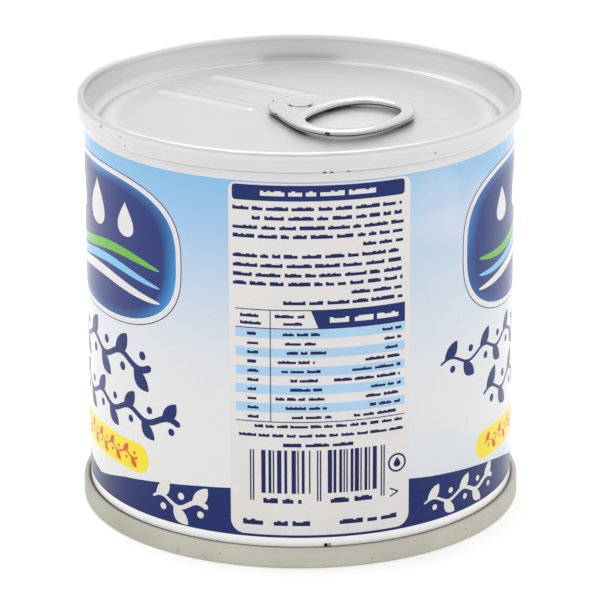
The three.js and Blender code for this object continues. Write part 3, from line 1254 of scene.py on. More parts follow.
@dataclass
class RingTab:
    """The ring tab: a nose held by the rivet, whose rolled edge opens into an oval finger loop."""

    steps: int = 360
    thickness: float = 1.2
    curl: float = 2.1
    loop_centre: float = 10.0
    loop_half: tuple[float, float] = (6.6, 8.85)
    squareness: float = 2.4
    nose_tip: float = -4.0
    nose_rounding: float = 3.0
    nose_squareness: float = 2.6
    nose_shoulder: tuple[float, float] = (-1.5, 5.15)
    nose_flare: float = 0.42
    loop_shoulder: float = 9.0
    loop_flare: float = 0.12
    pocket_half: tuple[float, float] = (2.9, 4.4)
    pocket_squareness: float = 2.6
    pocket_depth: float = 0.06
    arm_lift: float = 0.06
    bead: tuple[float, float] = (1.3, 2.1)
    nose_drop: float = 0.22
    # The dropped nose is painted a little darker, and the bead round the hole gets a painted highlight.
    nose_tone: float = 0.05
    bead_highlight: float = 0.4
    span_rows: int = 28
    lift_range: tuple[float, float] = (2.0, 6.0)
    nose_range: tuple[float, float] = (3.5, 7.0)
    bead_across: tuple[float, float] = (0.9, 1.9)
    bead_side: tuple[float, float] = (-2.5, 1.0)
    bead_along: tuple[float, float] = (5.0, 9.0)
    pocket_edge: tuple[float, float] = (0.9, 1.06)

    def loop_width(self, u: np.ndarray) -> np.ndarray:
        """Half the loop's outer width at u: a superellipse about the loop's centre.

        Args:
            u: places along the tab from the rivet.

        Returns:
            Half the width at each.
        """
        length, width = (half + self.curl / 2 for half in self.loop_half)
        share = np.clip(np.abs(u - self.loop_centre) / length, 0, 1)
        return width * (1 - share**self.squareness) ** (1 / self.squareness)

    def half_width(self, u: np.ndarray) -> np.ndarray:
        """Half the tab's width at u: a rounded tip, then a cubic flank that runs into the loop.

        Args:
            u: places along the tab from the rivet.

        Returns:
            Half the width at each.
        """
        start, width = self.nose_shoulder
        span = self.loop_shoulder - start
        t = (u - start) / span
        stop_width = float(self.loop_width(np.array(self.loop_shoulder)))
        flank = ((2 * t**3 - 3 * t**2 + 1) * width + (t**3 - 2 * t**2 + t) * span * self.nose_flare
                 + (3 * t**2 - 2 * t**3) * stop_width + (t**3 - t**2) * span * self.loop_flare)
        tip = np.clip((self.nose_tip + self.nose_rounding - u) / self.nose_rounding, 0, 1)
        nose = flank * (1 - tip**self.nose_squareness) ** (1 / self.nose_squareness)
        return np.where(u > self.loop_shoulder, self.loop_width(u), nose)

    def reach(self, angle: np.ndarray) -> tuple[np.ndarray, np.ndarray]:
        """Distance from the loop's centre to the outer edge and to the hole's edge, by direction.

        Args:
            angle: directions from the loop's centre, from 0 to 2 pi.

        Returns:
            The outer distances and the hole's.
        """
        stop = self.loop_centre + self.loop_half[0] + self.curl / 2
        u = self.nose_tip + (stop - self.nose_tip) * (1 - np.cos(np.linspace(0, np.pi, 2001))) / 2
        v = self.half_width(u)
        around = np.arctan2(v, u - self.loop_centre)[::-1]
        distance = np.hypot(v, u - self.loop_centre)[::-1]
        folded = np.where(angle > np.pi, 2 * np.pi - angle, angle)
        outer = np.interp(folded, around, distance)
        a, b = (half - self.curl / 2 for half in self.loop_half)
        power = self.squareness
        hole = ((np.abs(np.cos(angle)) / a) ** power + (np.abs(np.sin(angle)) / b) ** power) ** (-1 / power)
        return outer, hole

    def covers(self, x: np.ndarray, y: np.ndarray) -> tuple[np.ndarray, np.ndarray]:
        """Which places of the lid lie under the tab or in its hole, by smooth steps from its edges.

        Args:
            x: places along X.
            y: places along Y.

        Returns:
            Shares that are 1 well under the tab, and 1 well inside its hole.
        """
        turn = math.radians(CAN.tab_angle)
        x, y = x - CAN.rivet_place[0], y - CAN.rivet_place[1]
        u = x * math.cos(turn) + y * math.sin(turn) - self.loop_centre
        v = y * math.cos(turn) - x * math.sin(turn)
        distance = np.hypot(u, v)
        outer, hole = self.reach(np.arctan2(v, u) % (2 * np.pi))
        under = smooth_step(np.minimum(outer - distance, distance - hole), 0.4, 0.9)
        return under, smooth_step(hole - distance, 0.0, 0.8)

    def section(self) -> np.ndarray:
        """The rolled strip's section, once round from the outer edge's foot over the top and back below.

        Returns:
            Four rows: whether a point's place is measured from the outer edge or from the hole's, its
            distance from that edge, its height over the tab's underside, and how much painted shade it
            carries.
        """
        high = self.thickness
        # The last number of each point is painted shade: dark on the lower curls, none on the top.
        outer = [(0.85, 0.0, 1), (0.60, 0.02, 1), (0.34, 0.06, 0.9), (0.14, 0.13, 0.4), (0.08, 0.20, 0.05),
                 (0.14, 0.27, 0.1), (0.42, 0.31, 1), (0.44, 0.37, 1), (0.14, 0.42, 0.1), (0.03, 0.54, 0),
                 (0.0, 0.72, 0), (0.05, 0.90, 0), (0.20, 1.05, 0), (0.44, high - 0.04, 0), (0.74, high, 0),
                 (1.02, high, 0), (1.28, high - 0.03, 0), (1.50, high - 0.08, 0)]
        inner = [(0.45, high - 0.12, 0), (0.28, high - 0.20, 0), (0.12, high - 0.34, 0), (0.05, 0.68, 0),
                 (0.08, 0.50, 0), (0.16, 0.36, 0.1), (0.24, 0.26, 0.9), (0.30, 0.14, 1), (0.42, 0.05, 1),
                 (0.65, 0.0, 1)]
        place = [(1.0, *point) for point in outer] + [(0.0, *point) for point in inner]
        return np.array(place).T

    def strip(self, angle: np.ndarray) -> tuple[np.ndarray, np.ndarray, np.ndarray, np.ndarray]:
        """The strip's section carried round the loop, its top and underside spanning nose and arms alike.

        A point of the section lies on the line from the outer edge to the hole's edge, at its distance
        from the one or the other. Rows added between the two sets span the nose.

        Args:
            angle: directions from the loop's centre.

        Returns:
            Each point's distance from the loop's centre, its height over the tab's underside and how dark
            its fold is, one row for each point of the section, and which rows are on the upper face.
        """
        outer, hole = self.reach(angle)
        slant = np.gradient(outer, angle) / outer
        lean = np.sqrt(1 + slant**2)
        kind, distance, height, painted_tone = self.section()
        width = outer - hole
        squeeze = np.minimum(1, width / self.curl)
        from_outer = outer - distance[:, None] * squeeze * np.minimum(lean, width / 2)
        from_hole = hole + distance[:, None] * squeeze
        radius = np.where(kind[:, None] > 0.5, from_outer, from_hole)
        level = height[:, None] + 0 * radius
        edge = int(kind.sum())
        t = np.linspace(0, 1, self.span_rows + 2)[1:-1, None]
        top = (1 - t) * radius[edge - 1] + t * radius[edge]
        top_level = (1 - t) * level[edge - 1] + t * level[edge]
        below = (1 - t) * radius[-1] + t * radius[0]
        radius = np.concatenate([radius[:edge], top, radius[edge:], below])
        level = np.concatenate([level[:edge], top_level, level[edge:], 0 * below])
        span = np.zeros(self.span_rows)
        # The rows that span the underside are painted full shade.
        painted_tone = np.concatenate([painted_tone[:edge], span, painted_tone[edge:], span + 1])[:, None] + 0 * radius
        row = np.arange(len(radius))[:, None]
        return radius, level, painted_tone, (row >= edge - 4) & (row <= edge + self.span_rows)

    def surface(self) -> Surface:
        """The strip with its arms lifted, its nose dropped and the pocket pressed, put in its place.

        The nose drops past the bead round the hole, by a smooth step of the distance from it. The pocket
        round the rivet is the inside of a superellipse, and its depth a smooth step of the share of it.

        Returns:
            The tab, closed like a ring and facing out.
        """
        angle = 2 * np.pi * np.arange(self.steps) / self.steps
        radius, level, painted_tone, upper = self.strip(angle)
        past_hole = radius - self.reach(angle)[1]
        u = self.loop_centre + radius * np.cos(angle)
        v = radius * np.sin(angle)
        lift = self.arm_lift * smooth_step(u, *self.lift_range)
        level = lift + level * (1 - lift / self.thickness)
        nose = smooth_step(past_hole, *self.bead) * (1 - smooth_step(u, *self.nose_range))
        level = level * (1 - self.nose_drop / self.thickness * nose)
        bead = upper * (1 - smooth_step(past_hole, *self.bead_across)) * smooth_step(v, *self.bead_side)
        bead_highlight = self.bead_highlight * bead * (1 - smooth_step(u, *self.bead_along))
        # Painted tone: the dropped nose is painted a little darker and the bead gets a painted highlight.
        painted_tone = painted_tone + self.nose_tone * nose - bead_highlight
        power = self.pocket_squareness
        across, along = np.abs(u / self.pocket_half[0]), np.abs(v / self.pocket_half[1])
        share = (across**power + along**power) ** (1 / power)
        level = level - upper * self.pocket_depth * (1 - smooth_step(share, *self.pocket_edge))
        turn = math.radians(CAN.tab_angle)
        x = CAN.rivet_place[0] + u * math.cos(turn) - v * math.sin(turn)
        y = CAN.rivet_place[1] + u * math.sin(turn) + v * math.cos(turn)
        z = CAN.panel_height + CAN.boss_rise + level
        faces = grid_quads(len(radius), self.steps, wrap_rows=True, wrap_columns=True)
        return Surface(np.stack([x, y, z], axis=-1).reshape(-1, 3), [faces], painted_tone.ravel())

    def build(self) -> None:
        """Makes the tab in place of the model's."""
        tab = make_piece("ring_tab", self.surface(), TAB_METAL.material(), 70)
        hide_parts("pull_tab")


@dataclass
class TabRivet:
    """The rivet, pressed from the lid's own metal: a shank through the tab and a slightly dished head."""

    seat: float = 0.8
    shank: float = 1.2
    head: float = 1.98
    rounding: float = 0.12
    head_top: float = 59.68
    dish: float = 0.03

    def surface(self) -> Surface:
        """Returns the rivet: its section turned, then moved to its place."""
        foot = CAN.panel_height + CAN.boss_rise
        seat = foot + self.seat
        rim = self.head - self.rounding
        radii = np.linspace(rim, 0, 9)[1:]
        top = np.stack([radii, self.head_top - self.dish * smooth_step(rim - radii, 0.05, 0.5)], axis=-1)
        body = turned(np.concatenate([
            [[0, foot], [self.shank, foot], [self.shank, seat], [self.head, seat]],
            arc(rim, self.head_top - self.rounding, self.rounding, 0, 90),
            top,
        ]), 96)
        body.points[:, :2] += CAN.rivet_place
        return body

    def build(self) -> None:
        """Makes the rivet in place of the model's."""
        rivet = make_piece("rivet_head", self.surface(), RIVET_METAL.material(), 60)
        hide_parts("rivet")


@dataclass
class SmallMarks:
    """The lid's score lines and scratches, the dark specks of painted shade on tab and rivet, and the
    specks of dirt on the seams.

    Args:
        lid: the lid that the lines follow.
        score: x, y and rounding of the corners of the score line.
        scratches: x and y of each scratch's points.
        score_size: width and rise of the score line.
        scratch_size: width and rise of a scratch.
        ribbon_back: how far the back of such a strip lies over the panel.
        tab_specks: centre, half sizes and turn of each dark speck on the tab, painted shade in a dimple and
            two notches.
        crescents: directions from the rivet, in degrees from +X, of the painted shade of the slot at its
            edge.
        crescent_reach: how far that painted shade lies from the rivet's middle.
        crescent_height: its height.
        crescent_half: half its sizes.
        seam_specks: s, z, half width and half height of each speck on a seam.
        seam_sink: how far such a speck's middle lies inside the seam.
        seam_thick: half its thickness.
    """

    lid: LidEnd
    score: tuple[tuple[float, float, float], ...] = (
        (-5.1, 2.9, 0), (-4.9, 5.2, 1.2), (-19.3, 17.2, 1.2), (-19.6, 19.2, 1.2), (-17.4, 20.6, 1.2),
        (-15.8, 19.9, 1.0), (-2.2, 10.95, 0),
    )
    scratches: tuple[tuple[tuple[float, float], ...], ...] = (
        ((7.4, 1.2), (10.2, 0.5), (13.3, -0.9)), ((8.0, -5.6), (8.7, -5.2)), ((8.9, -4.9), (9.5, -4.3)),
        ((9.3, -5.3), (10.0, -4.4)), ((10.0, -4.2), (10.4, -3.6)),
    )
    score_size: tuple[float, float] = (0.34, 0.02)
    scratch_size: tuple[float, float] = (0.16, 0.012)
    ribbon_back: float = -0.05
    tab_specks: tuple[tuple[tuple[float, ...], tuple[float, ...], float], ...] = (
        ((4.03, -12.69, 59.36), (0.42, 0.13, 0.19), -20),
        ((-3.86, 3.41, 59.6), (0.12, 0.22, 0.06), 0),
        ((-3.58, -2.08, 59.17), (0.13, 0.24, 0.12), 0),
    )
    crescents: tuple[float, ...] = (-135, -45)
    crescent_reach: float = 2.02
    crescent_height: float = 59.58
    crescent_half: tuple[float, float, float] = (0.08, 0.36, 0.05)
    seam_specks: tuple[tuple[float, float, float, float], ...] = (
        (3.5, 59.56, 0.30, 0.10), (4.5, 59.55, 0.26, 0.09), (6.9, 59.6, 0.22, 0.07),
        (-34.35, 61.6, 0.10, 0.22), (-29.2, 61.25, 0.20, 0.05), (-28.1, 60.2, 0.12, 0.10),
        (20.4, 60.6, 0.10, 0.12), (-12.0, 1.5, 0.12, 0.12), (10.5, 0.9, 0.16, 0.08),
        (27.2, 1.7, 0.10, 0.16), (-33.0, 1.9, 0.12, 0.10),
    )
    seam_sink: float = 0.04
    seam_thick: float = 0.07

    def ribbon(self, line: np.ndarray, width: float, rise: float) -> Surface:
        """A thin strip along a line on the lid's panel, which follows the panel's relief.

        Args:
            line: x and y of its points.
            width: its width.
            rise: how far it stands out of the panel.

        Returns:
            The closed strip.
        """
        patch = stroke(finer(line, 0.25), width)
        layers = []
        for stand in (rise, self.ribbon_back):
            z = CAN.panel_height + self.lid.relief(patch.s, patch.z) + stand
            layers.append(np.stack([patch.s, patch.z, z], axis=-1))
        return slab(*layers)

    def crescent(self, angle: float) -> Surface:
        """The painted shade of the slot at the rivet's edge in one direction.

        Args:
            angle: the direction in degrees from +X.

        Returns:
            The closed speck.
        """
        way, reach = math.radians(angle), self.crescent_reach
        x, y = CAN.rivet_place
        place = (x + reach * math.cos(way), y + reach * math.sin(way), self.crescent_height)
        return speck(place, self.crescent_half, angle)

    def seam_speck(self, s: float, z: float, width: float, height: float) -> Surface:
        """A speck on a seam's outside, half sunk in it.

        Args:
            s: its place round the seam from the middle of the front.
            z: its height.
            width: half its width.
            height: half its height.

        Returns:
            The closed speck.
        """
        way = s / CAN.seam_radius
        radius = CAN.seam_radius - self.seam_sink
        place = (radius * math.sin(way), -radius * math.cos(way), z)
        return speck(place, (width, self.seam_thick, height), math.degrees(way))

    def build(self) -> None:
        """Makes the score lines, the scratches and the specks."""
        score = self.ribbon(rounded_line(list(self.score)), *self.score_size)
        make_piece("score_lines", score, SCORE_METAL.material(), 30)
        lines = [self.ribbon(np.array(line), *self.scratch_size) for line in self.scratches]
        make_piece("panel_scratches", joined(lines), LIGHT_SCRATCH.material(), 30)
        # One dark ink for painted shade on tab and rivet and for dirt on the seams.
        dirt_and_shade = DARK_DIRT_AND_SHADE.material()
        # Painted shade: dark specks in the tab's dimple and notches.
        on_tab = [speck(*sizes) for sizes in self.tab_specks]
        make_piece("tab_dirt", joined(on_tab), dirt_and_shade)
        # Painted shade: dark crescents where the slot round the rivet lies in shade.
        on_rivet = [self.crescent(angle) for angle in self.crescents]
        make_piece("rivet_dirt", joined(on_rivet), dirt_and_shade)
        on_seams = [self.seam_speck(*sizes) for sizes in self.seam_specks]
        make_piece("seam_dirt", joined(on_seams), dirt_and_shade)


# The print on the wall


@dataclass
class Printer:
    """Gathers the patches of each ink and makes one piece of each."""

    fields: dict[tuple[str, str, Proud], list[Patch]] = field(default_factory=dict)
    finishes: dict[str, Finish] = field(default_factory=dict)

    def lay(self, sheet: str, finish: Finish, proud: Proud, *patches: Patch) -> None:
        """Adds patches in a finish at a level to the part of the print called sheet."""
        self.finishes[finish.name] = finish
        self.fields.setdefault((sheet, finish.name, proud), []).extend(patches)

    def build(self) -> None:
        """Makes a piece of each part of the print, in each ink and level that it has."""
        materials = {name: finish.material() for name, finish in self.finishes.items()}
        for (sheet, name, proud), patches in self.fields.items():
            piece = f"{sheet}_{name}_{proud.name.lower()}"
            make_piece(piece, skin(patches, proud), materials[name], 50)


@dataclass
class Margins:
    """White margins along both seams, and the small printing test marks."""

    top: float = 57.9
    foot: float = 4.34
    lap: float = 0.1
    marks: tuple[tuple[float, float], ...] = ((3.35, 3.85), (3.87, 4.4))
    mark_span: tuple[float, float] = (2.9, 3.45)

    def lay(self, printer: Printer) -> None:
        """Lays both margins, which run a little under the seams, and the test marks over the base's seam.

        Args:
            printer: what gathers the print.
        """
        around = even(-CAN.girth / 2, CAN.girth / 2)
        high = CAN.height - CAN.seam_height + self.lap
        low = CAN.seam_height - self.lap
        printer.lay("margin", MARGIN_WHITE, Proud.ON_WALL, between(around, self.top, high))
        # The foot margin is printed in the lighter white, painted light against the shade by the base's
        # seam.
        printer.lay("margin", FOOT_WHITE_PAINTED_LIGHT, Proud.ON_WALL, between(around, low, self.foot))
        for (left, right), ink in zip(self.marks, (TEST_BLACK, TEST_TAN)):
            printer.lay("margin", ink, Proud.ON_FIELD, box(left, right, *self.mark_span))


@dataclass
class FootBand:
    """The navy band round the foot: a straight lower edge, and an upper one that sweeps up to each panel.

    Args:
        low: height of the lower edge.
        s: places round the wall at which the upper edge is given.
        z: height of the upper edge at each.
        garlands: start, stop, foot, height, number of leaves and weight of each garland.
    """

    low: float = 4.36
    s: tuple[float, ...] = (-83.2, -72, -60, -50, -44, -40, -38.1, -35.1, -30.1, -25.1, -20.1, -15.1, -10.2,
                            16.3, 20.1, 25.1, 30.1, 34.9, 39.9, 43.5, 46.5, 50, 56, 66, 78, 89.2, 115.7)
    z: tuple[float, ...] = (11.4, 10.6, 9.2, 7.9, 7.25, 6.95, 6.7, 7.4, 8.7, 9.6, 10.4, 11.05, 11.5,
                            11.85, 11.4, 10.9, 10.3, 9.6, 8.55, 7.45, 6.7, 7.0, 7.6, 9.1, 10.7, 11.6, 11.4)
    garlands: tuple[tuple[float, float, float, float, int, float], ...] = (
        (-23.6, -13.8, 4.9, 5.6, 3, 0.85), (19.0, 34.8, 5.0, 4.6, 5, 0.72),
        (70.0, 84.0, 5.0, 4.4, 5, 0.7), (-78.0, -66.0, 5.0, 4.4, 4, 0.7),
    )

    def lay(self, printer: Printer) -> None:
        """Lays the band, and the white garlands on it.

        Args:
            printer: what gathers the print.
        """
        s = even(self.s[0], self.s[-1], 0.5)
        printer.lay("band", NAVY, Proud.ON_WALL, between(s, self.low, np.interp(s, self.s, self.z)))
        for sizes in self.garlands:
            stem, growth = garland(*sizes)
            printer.lay("band", PANEL_WHITE, Proud.ON_FIELD, stem)
            printer.lay("band", PANEL_WHITE, Proud.ON_PANEL, *growth)


@dataclass
class InfoPanel:
    """The white panel: a title bar, rows of small bars, a table, a bar code and two small signs.

    Args:
        name: what its pieces' names start with.
        shift: how far round the wall it stands from the front one.
        seed: seed of its random draws.
        sides: left, right, lower and upper side of the panel.
        head: the same of the title bar.
        row_heights: height of the middle of each row of bars.
        row_starts: left end of each row.
        row_stop: right end of the rows.
        low_rows: left end, right end and foot of the rows under the table.
        table_sides: left and right side of the table.
        stripe_tops: upper side of each blue stripe.
        code_ends: left and right end of the bar code.
        code_middle: place of the longer pair of bars in its middle.
        module: width of its thinnest bar.
        code_span: lower and upper side of its bars.
        guard_foot: lower side of its longer bars.
        code_rows: left end, right end, foot and size of each row of bars over and under the bar code.
    """

    name: str
    shift: float
    seed: int
    sides: tuple[float, float, float, float] = (-10.2, 16.3, 4.77, 57.7)
    head: tuple[float, float, float, float] = (-9.65, 15.35, 55.1, 57.4)
    row_heights: tuple[float, ...] = (54.0, 52.6, 51.2, 49.9, 48.5, 47.0, 45.6, 44.2, 42.9, 41.5, 40.1)
    row_starts: tuple[float, ...] = (-9.6, -6.8, -9.6, -9.6, 9.0, -9.6, -9.6, -9.6, -9.6, 7.3, -2.4)
    row_stop: float = 15.3
    low_rows: tuple[tuple[float, float, float], ...] = ((-6.6, 15.4, 21.15), (-8.9, 15.5, 19.75))
    low_row_size: float = 0.80
    table_sides: tuple[float, float] = (-9.3, 15.5)
    table_top: float = 36.2
    table_rows: int = 10
    table_size: float = 0.82
    row_pitch: float = 1.39
    line_width: float = 0.13
    stripe_tops: tuple[float, ...] = (36.1, 33.25, 30.47, 27.7, 24.95)
    stripe_height: float = 1.36
    code_ends: tuple[float, float] = (-7.3, 12.4)
    code_middle: float = 2.35
    module: float = 0.2075
    code_span: tuple[float, float] = (11.2, 17.8)
    guard_foot: float = 10.0
    code_rows: tuple[tuple[float, float, float, float], ...] = (
        (-2.5, 7.8, 18.25, 0.95), (-8.8, -8.0, 9.55, 1.35), (-5.4, 0.6, 9.55, 1.35),
        (4.3, 10.5, 9.55, 1.35), (-8.4, -4.2, 6.1, 1.5), (-3.9, 1.4, 6.1, 1.3), (5.6, 14.7, 6.2, 1.25),
    )

    def lay_ink(self, printer: Printer, finish: Finish, proud: Proud, patches: list[Patch]) -> None:
        """Lays patches of the panel, moved round the wall to where it stands."""
        moved = [Patch(patch.s + self.shift, patch.z, patch.depth) for patch in patches]
        printer.lay(self.name, finish, proud, *moved)

    def rows(self, rng: np.random.Generator) -> list[Patch]:
        """The rows of small bars over the table, and the two under it.

        Args:
            rng: source of the random draws.

        Returns:
            Their patches.
        """
        patches = []
        for middle, start in zip(self.row_heights, self.row_starts):
            patches += word_bars(rng, start, self.row_stop, middle - 0.40, 1.0)
        for start, stop, foot in self.low_rows:
            patches += word_bars(rng, start, stop, foot, self.low_row_size)
        return patches

    def table(self, rng: np.random.Generator) -> list[Patch]:
        """The table's lines, and the bars in its three columns and its head.

        Args:
            rng: source of the random draws.

        Returns:
            Their patches.
        """
        (left, right), line, size = self.table_sides, self.line_width, self.table_size
        patches = [box(left, 1.7, 38.9, 38.9 + line), box(left, right, 36.15, 36.15 + line),
                   box(-4.3, -4.3 + line, 22.1, 39.0), box(left, right, 22.05, 22.05 + line)]
        for row in range(self.table_rows):
            foot = self.table_top - (row + 0.82) * self.row_pitch
            width = rng.uniform(2.6, 8.8) if row != 5 else 10.2
            patches += word_bars(rng, 15.0 - width, 15.0, foot, size)
            patches += word_bars(rng, 0.6 - rng.uniform(1.6, 4.2), 0.6 + rng.uniform(1.6, 4.2), foot, size)
            patches += word_bars(rng, -7.6, -5.9 + rng.uniform(-0.3, 0.2), foot, size)
        for foot, start in ((37.75, -3.6), (36.65, -2.4)):
            patches += word_bars(rng, -8.6, -5.0, foot, 0.85)
            patches += word_bars(rng, start, 1.3, foot, 0.85)
        return patches

    def bar_code(self, rng: np.random.Generator) -> list[Patch]:
        """Upright bars of random widths, with longer pairs at both ends and in the middle.

        Args:
            rng: source of the random draws.

        Returns:
            Their patches.
        """
        (at, stop), module = self.code_ends, self.module
        low, high = self.code_span
        guards = (at, self.code_middle, stop - 3 * module)
        patches = []
        while at < stop - 3 * module:
            if not any(abs(at - guard) < 5 * module for guard in guards):
                width = module * rng.integers(1, 4)
                patches.append(box(at, at + width, low, high))
                at += width
            at += module * rng.integers(1, 4)
        for guard in guards:
            for bar in (guard, guard + 2 * module):
                patches.append(box(bar, bar + module, self.guard_foot, high))
        return patches

    def marks(self, rng: np.random.Generator) -> list[Patch]:
        """The small bars over and under the bar code, and the two small signs: a drop in a ring, an arrow.

        Args:
            rng: source of the random draws.

        Returns:
            Their patches.
        """
        patches = []
        for start, stop, foot, size in self.code_rows:
            patches += word_bars(rng, start, stop, foot, size)
        patches += [ring(14.35, 14.75, 1.3, 0.28), drop(14.35, 14.85, 0.55, 1.5)]
        arrow = np.array([[13.2, 10.95], [14.5, 10.3], [13.2, 9.65]])
        patches.append(stroke(finer(arrow, 0.1), 0.22))
        return patches

    def lay(self, printer: Printer) -> None:
        """Lays the whole panel. The navy field in the table's head starts with a slant.

        Args:
            printer: what gathers the print.
        """
        rng = np.random.default_rng(self.seed)
        self.lay_ink(printer, PANEL_WHITE, Proud.ON_FIELD, [box(*self.sides, 2.0, 1.2)])
        slant = even(0, 1, 0.06)
        foot, top = 2.6 + 12.9 * slant, 1.5 + 14.0 * slant
        table_head = Patch(np.stack([foot, top]), np.stack([0 * slant + self.table_top, 0 * slant + 39.03]))
        self.lay_ink(printer, NAVY, Proud.ON_PANEL, [box(*self.head, 0.5, 0.5), table_head])
        left, right = self.table_sides
        stripes = [box(left, right, z - self.stripe_height, z) for z in self.stripe_tops]
        self.lay_ink(printer, TABLE_BLUE, Proud.ON_PANEL, stripes)
        title = word_bars(rng, -5.6, 11.4, 55.75, 1.25) + word_bars(rng, 4.2, 14.6, 36.95, 1.4)
        self.lay_ink(printer, PANEL_WHITE, Proud.ON_BADGE, title)
        small = self.rows(rng) + self.table(rng) + self.bar_code(rng) + self.marks(rng)
        self.lay_ink(printer, FINE_NAVY, Proud.ON_BADGE, small)


@dataclass
class Badge:
    """A rounded blue badge with a white rim: three milk drops over rolling hills.

    Args:
        name: what its pieces' names start with.
        centre: its place round the wall.
        middle: height of its middle.
        half: half its width and half its height.
        squareness: the power of its outline; 2 gives an ellipse.
        outline: width of the thin line round it.
        rim: width of its white rim.
        drops: place, height, half width and height of each drop, from the badge's middle.
    """

    name: str
    centre: float
    middle: float = 44.1
    half: tuple[float, float] = (19.6, 11.6)
    squareness: float = 2.9
    outline: float = 0.14
    rim: float = 0.8
    drops: tuple[tuple[float, float, float, float], ...] = (
        (-8.5, 4.6, 1.9, 5.2), (0.0, 5.2, 2.6, 7.0), (8.5, 4.6, 1.9, 5.2),
    )

    def inside(self, by: float, rows: int = 2) -> Patch:
        """Returns the badge's field drawn in by a distance."""
        width, height = self.half
        return squircle(self.centre, self.middle, width - by, height - by, self.squareness, rows)

    def hill(self, low: float, rise: float, phase: float, thick: float) -> Patch:
        """A rolling stripe: its middle line is a sine of s, and it thins to nothing at both ends.

        Args:
            low: height of its middle line over the badge's middle.
            rise: how far the line swings up and down.
            phase: the sine's angle in the badge's middle.
            thick: its greatest width.

        Returns:
            The patch.
        """
        reach = 0.80 * self.half[0]
        s = even(-reach, reach, 0.4)
        middle = self.middle + low + rise * np.sin(s / 5.2 + phase)
        half = 0.5 * thick * np.sqrt(np.clip(1 - (s / reach) ** 2, 0.0005, 1))
        return between(self.centre + s, middle - half, middle + half)

    def lay(self, printer: Printer) -> None:
        """Lays outline, rim, field, hills and drops.

        Args:
            printer: what gathers the print.
        """
        printer.lay(self.name, NAVY, Proud.ON_WALL, self.inside(0))
        printer.lay(self.name, PANEL_WHITE, Proud.ON_FIELD, self.inside(self.outline))
        printer.lay(self.name, GlowField(), Proud.ON_PANEL, self.inside(self.outline + self.rim, 25))
        printer.lay(self.name, LEAF_GREEN, Proud.ON_BADGE, self.hill(-1.4, 1.0, 0.4, 1.5))
        printer.lay(self.name, WATER_BLUE, Proud.ON_BADGE, self.hill(-3.6, 1.0, 0.9, 1.3))
        printer.lay(self.name, PANEL_WHITE, Proud.ON_BADGE, self.hill(-5.7, 0.9, 1.4, 1.5))
        for s, z, width, height in self.drops:
            falling = drop(self.centre + s, self.middle + z, width, height)
            printer.lay(self.name, PANEL_WHITE, Proud.ON_BADGE, falling)


@dataclass
class Garlands:
    """What stands under a badge: two leafy garlands, and a yellow pill with a small red one.

    Args:
        name: what its pieces' names start with.
        sizes: start, stop, foot, height, number of leaves and weight of each garland.
        pill: left, right, lower and upper side of the pill.
        pill_leaves: number of leaves on the pill's garland.
    """

    name: str
    sizes: tuple[tuple[float, float, float, float, int, float], ...]
    pill: tuple[float, float, float, float]
    pill_leaves: int = 10

    def lay(self, printer: Printer) -> None:
        """Lays the garlands, and the pill with its own.

        Args:
            printer: what gathers the print.
        """
        for sizes in self.sizes:
            stem, growth = garland(*sizes)
            printer.lay(self.name, NAVY, Proud.ON_WALL, stem)
            printer.lay(self.name, NAVY, Proud.ON_FIELD, *growth)
        left, right, low, high = self.pill
        turn = 0.5 * (high - low) - 0.01
        printer.lay(self.name, WARM_YELLOW, Proud.ON_WALL, box(left, right, low, high, turn, turn))
        stem, growth = garland(left + 2.2, right - 2.4, low + 0.8, high - low - 1.6, self.pill_leaves, 0.36)
        printer.lay(self.name, BRICK_RED, Proud.ON_FIELD, stem)
        printer.lay(self.name, BRICK_RED, Proud.ON_PANEL, *growth)


# The studio


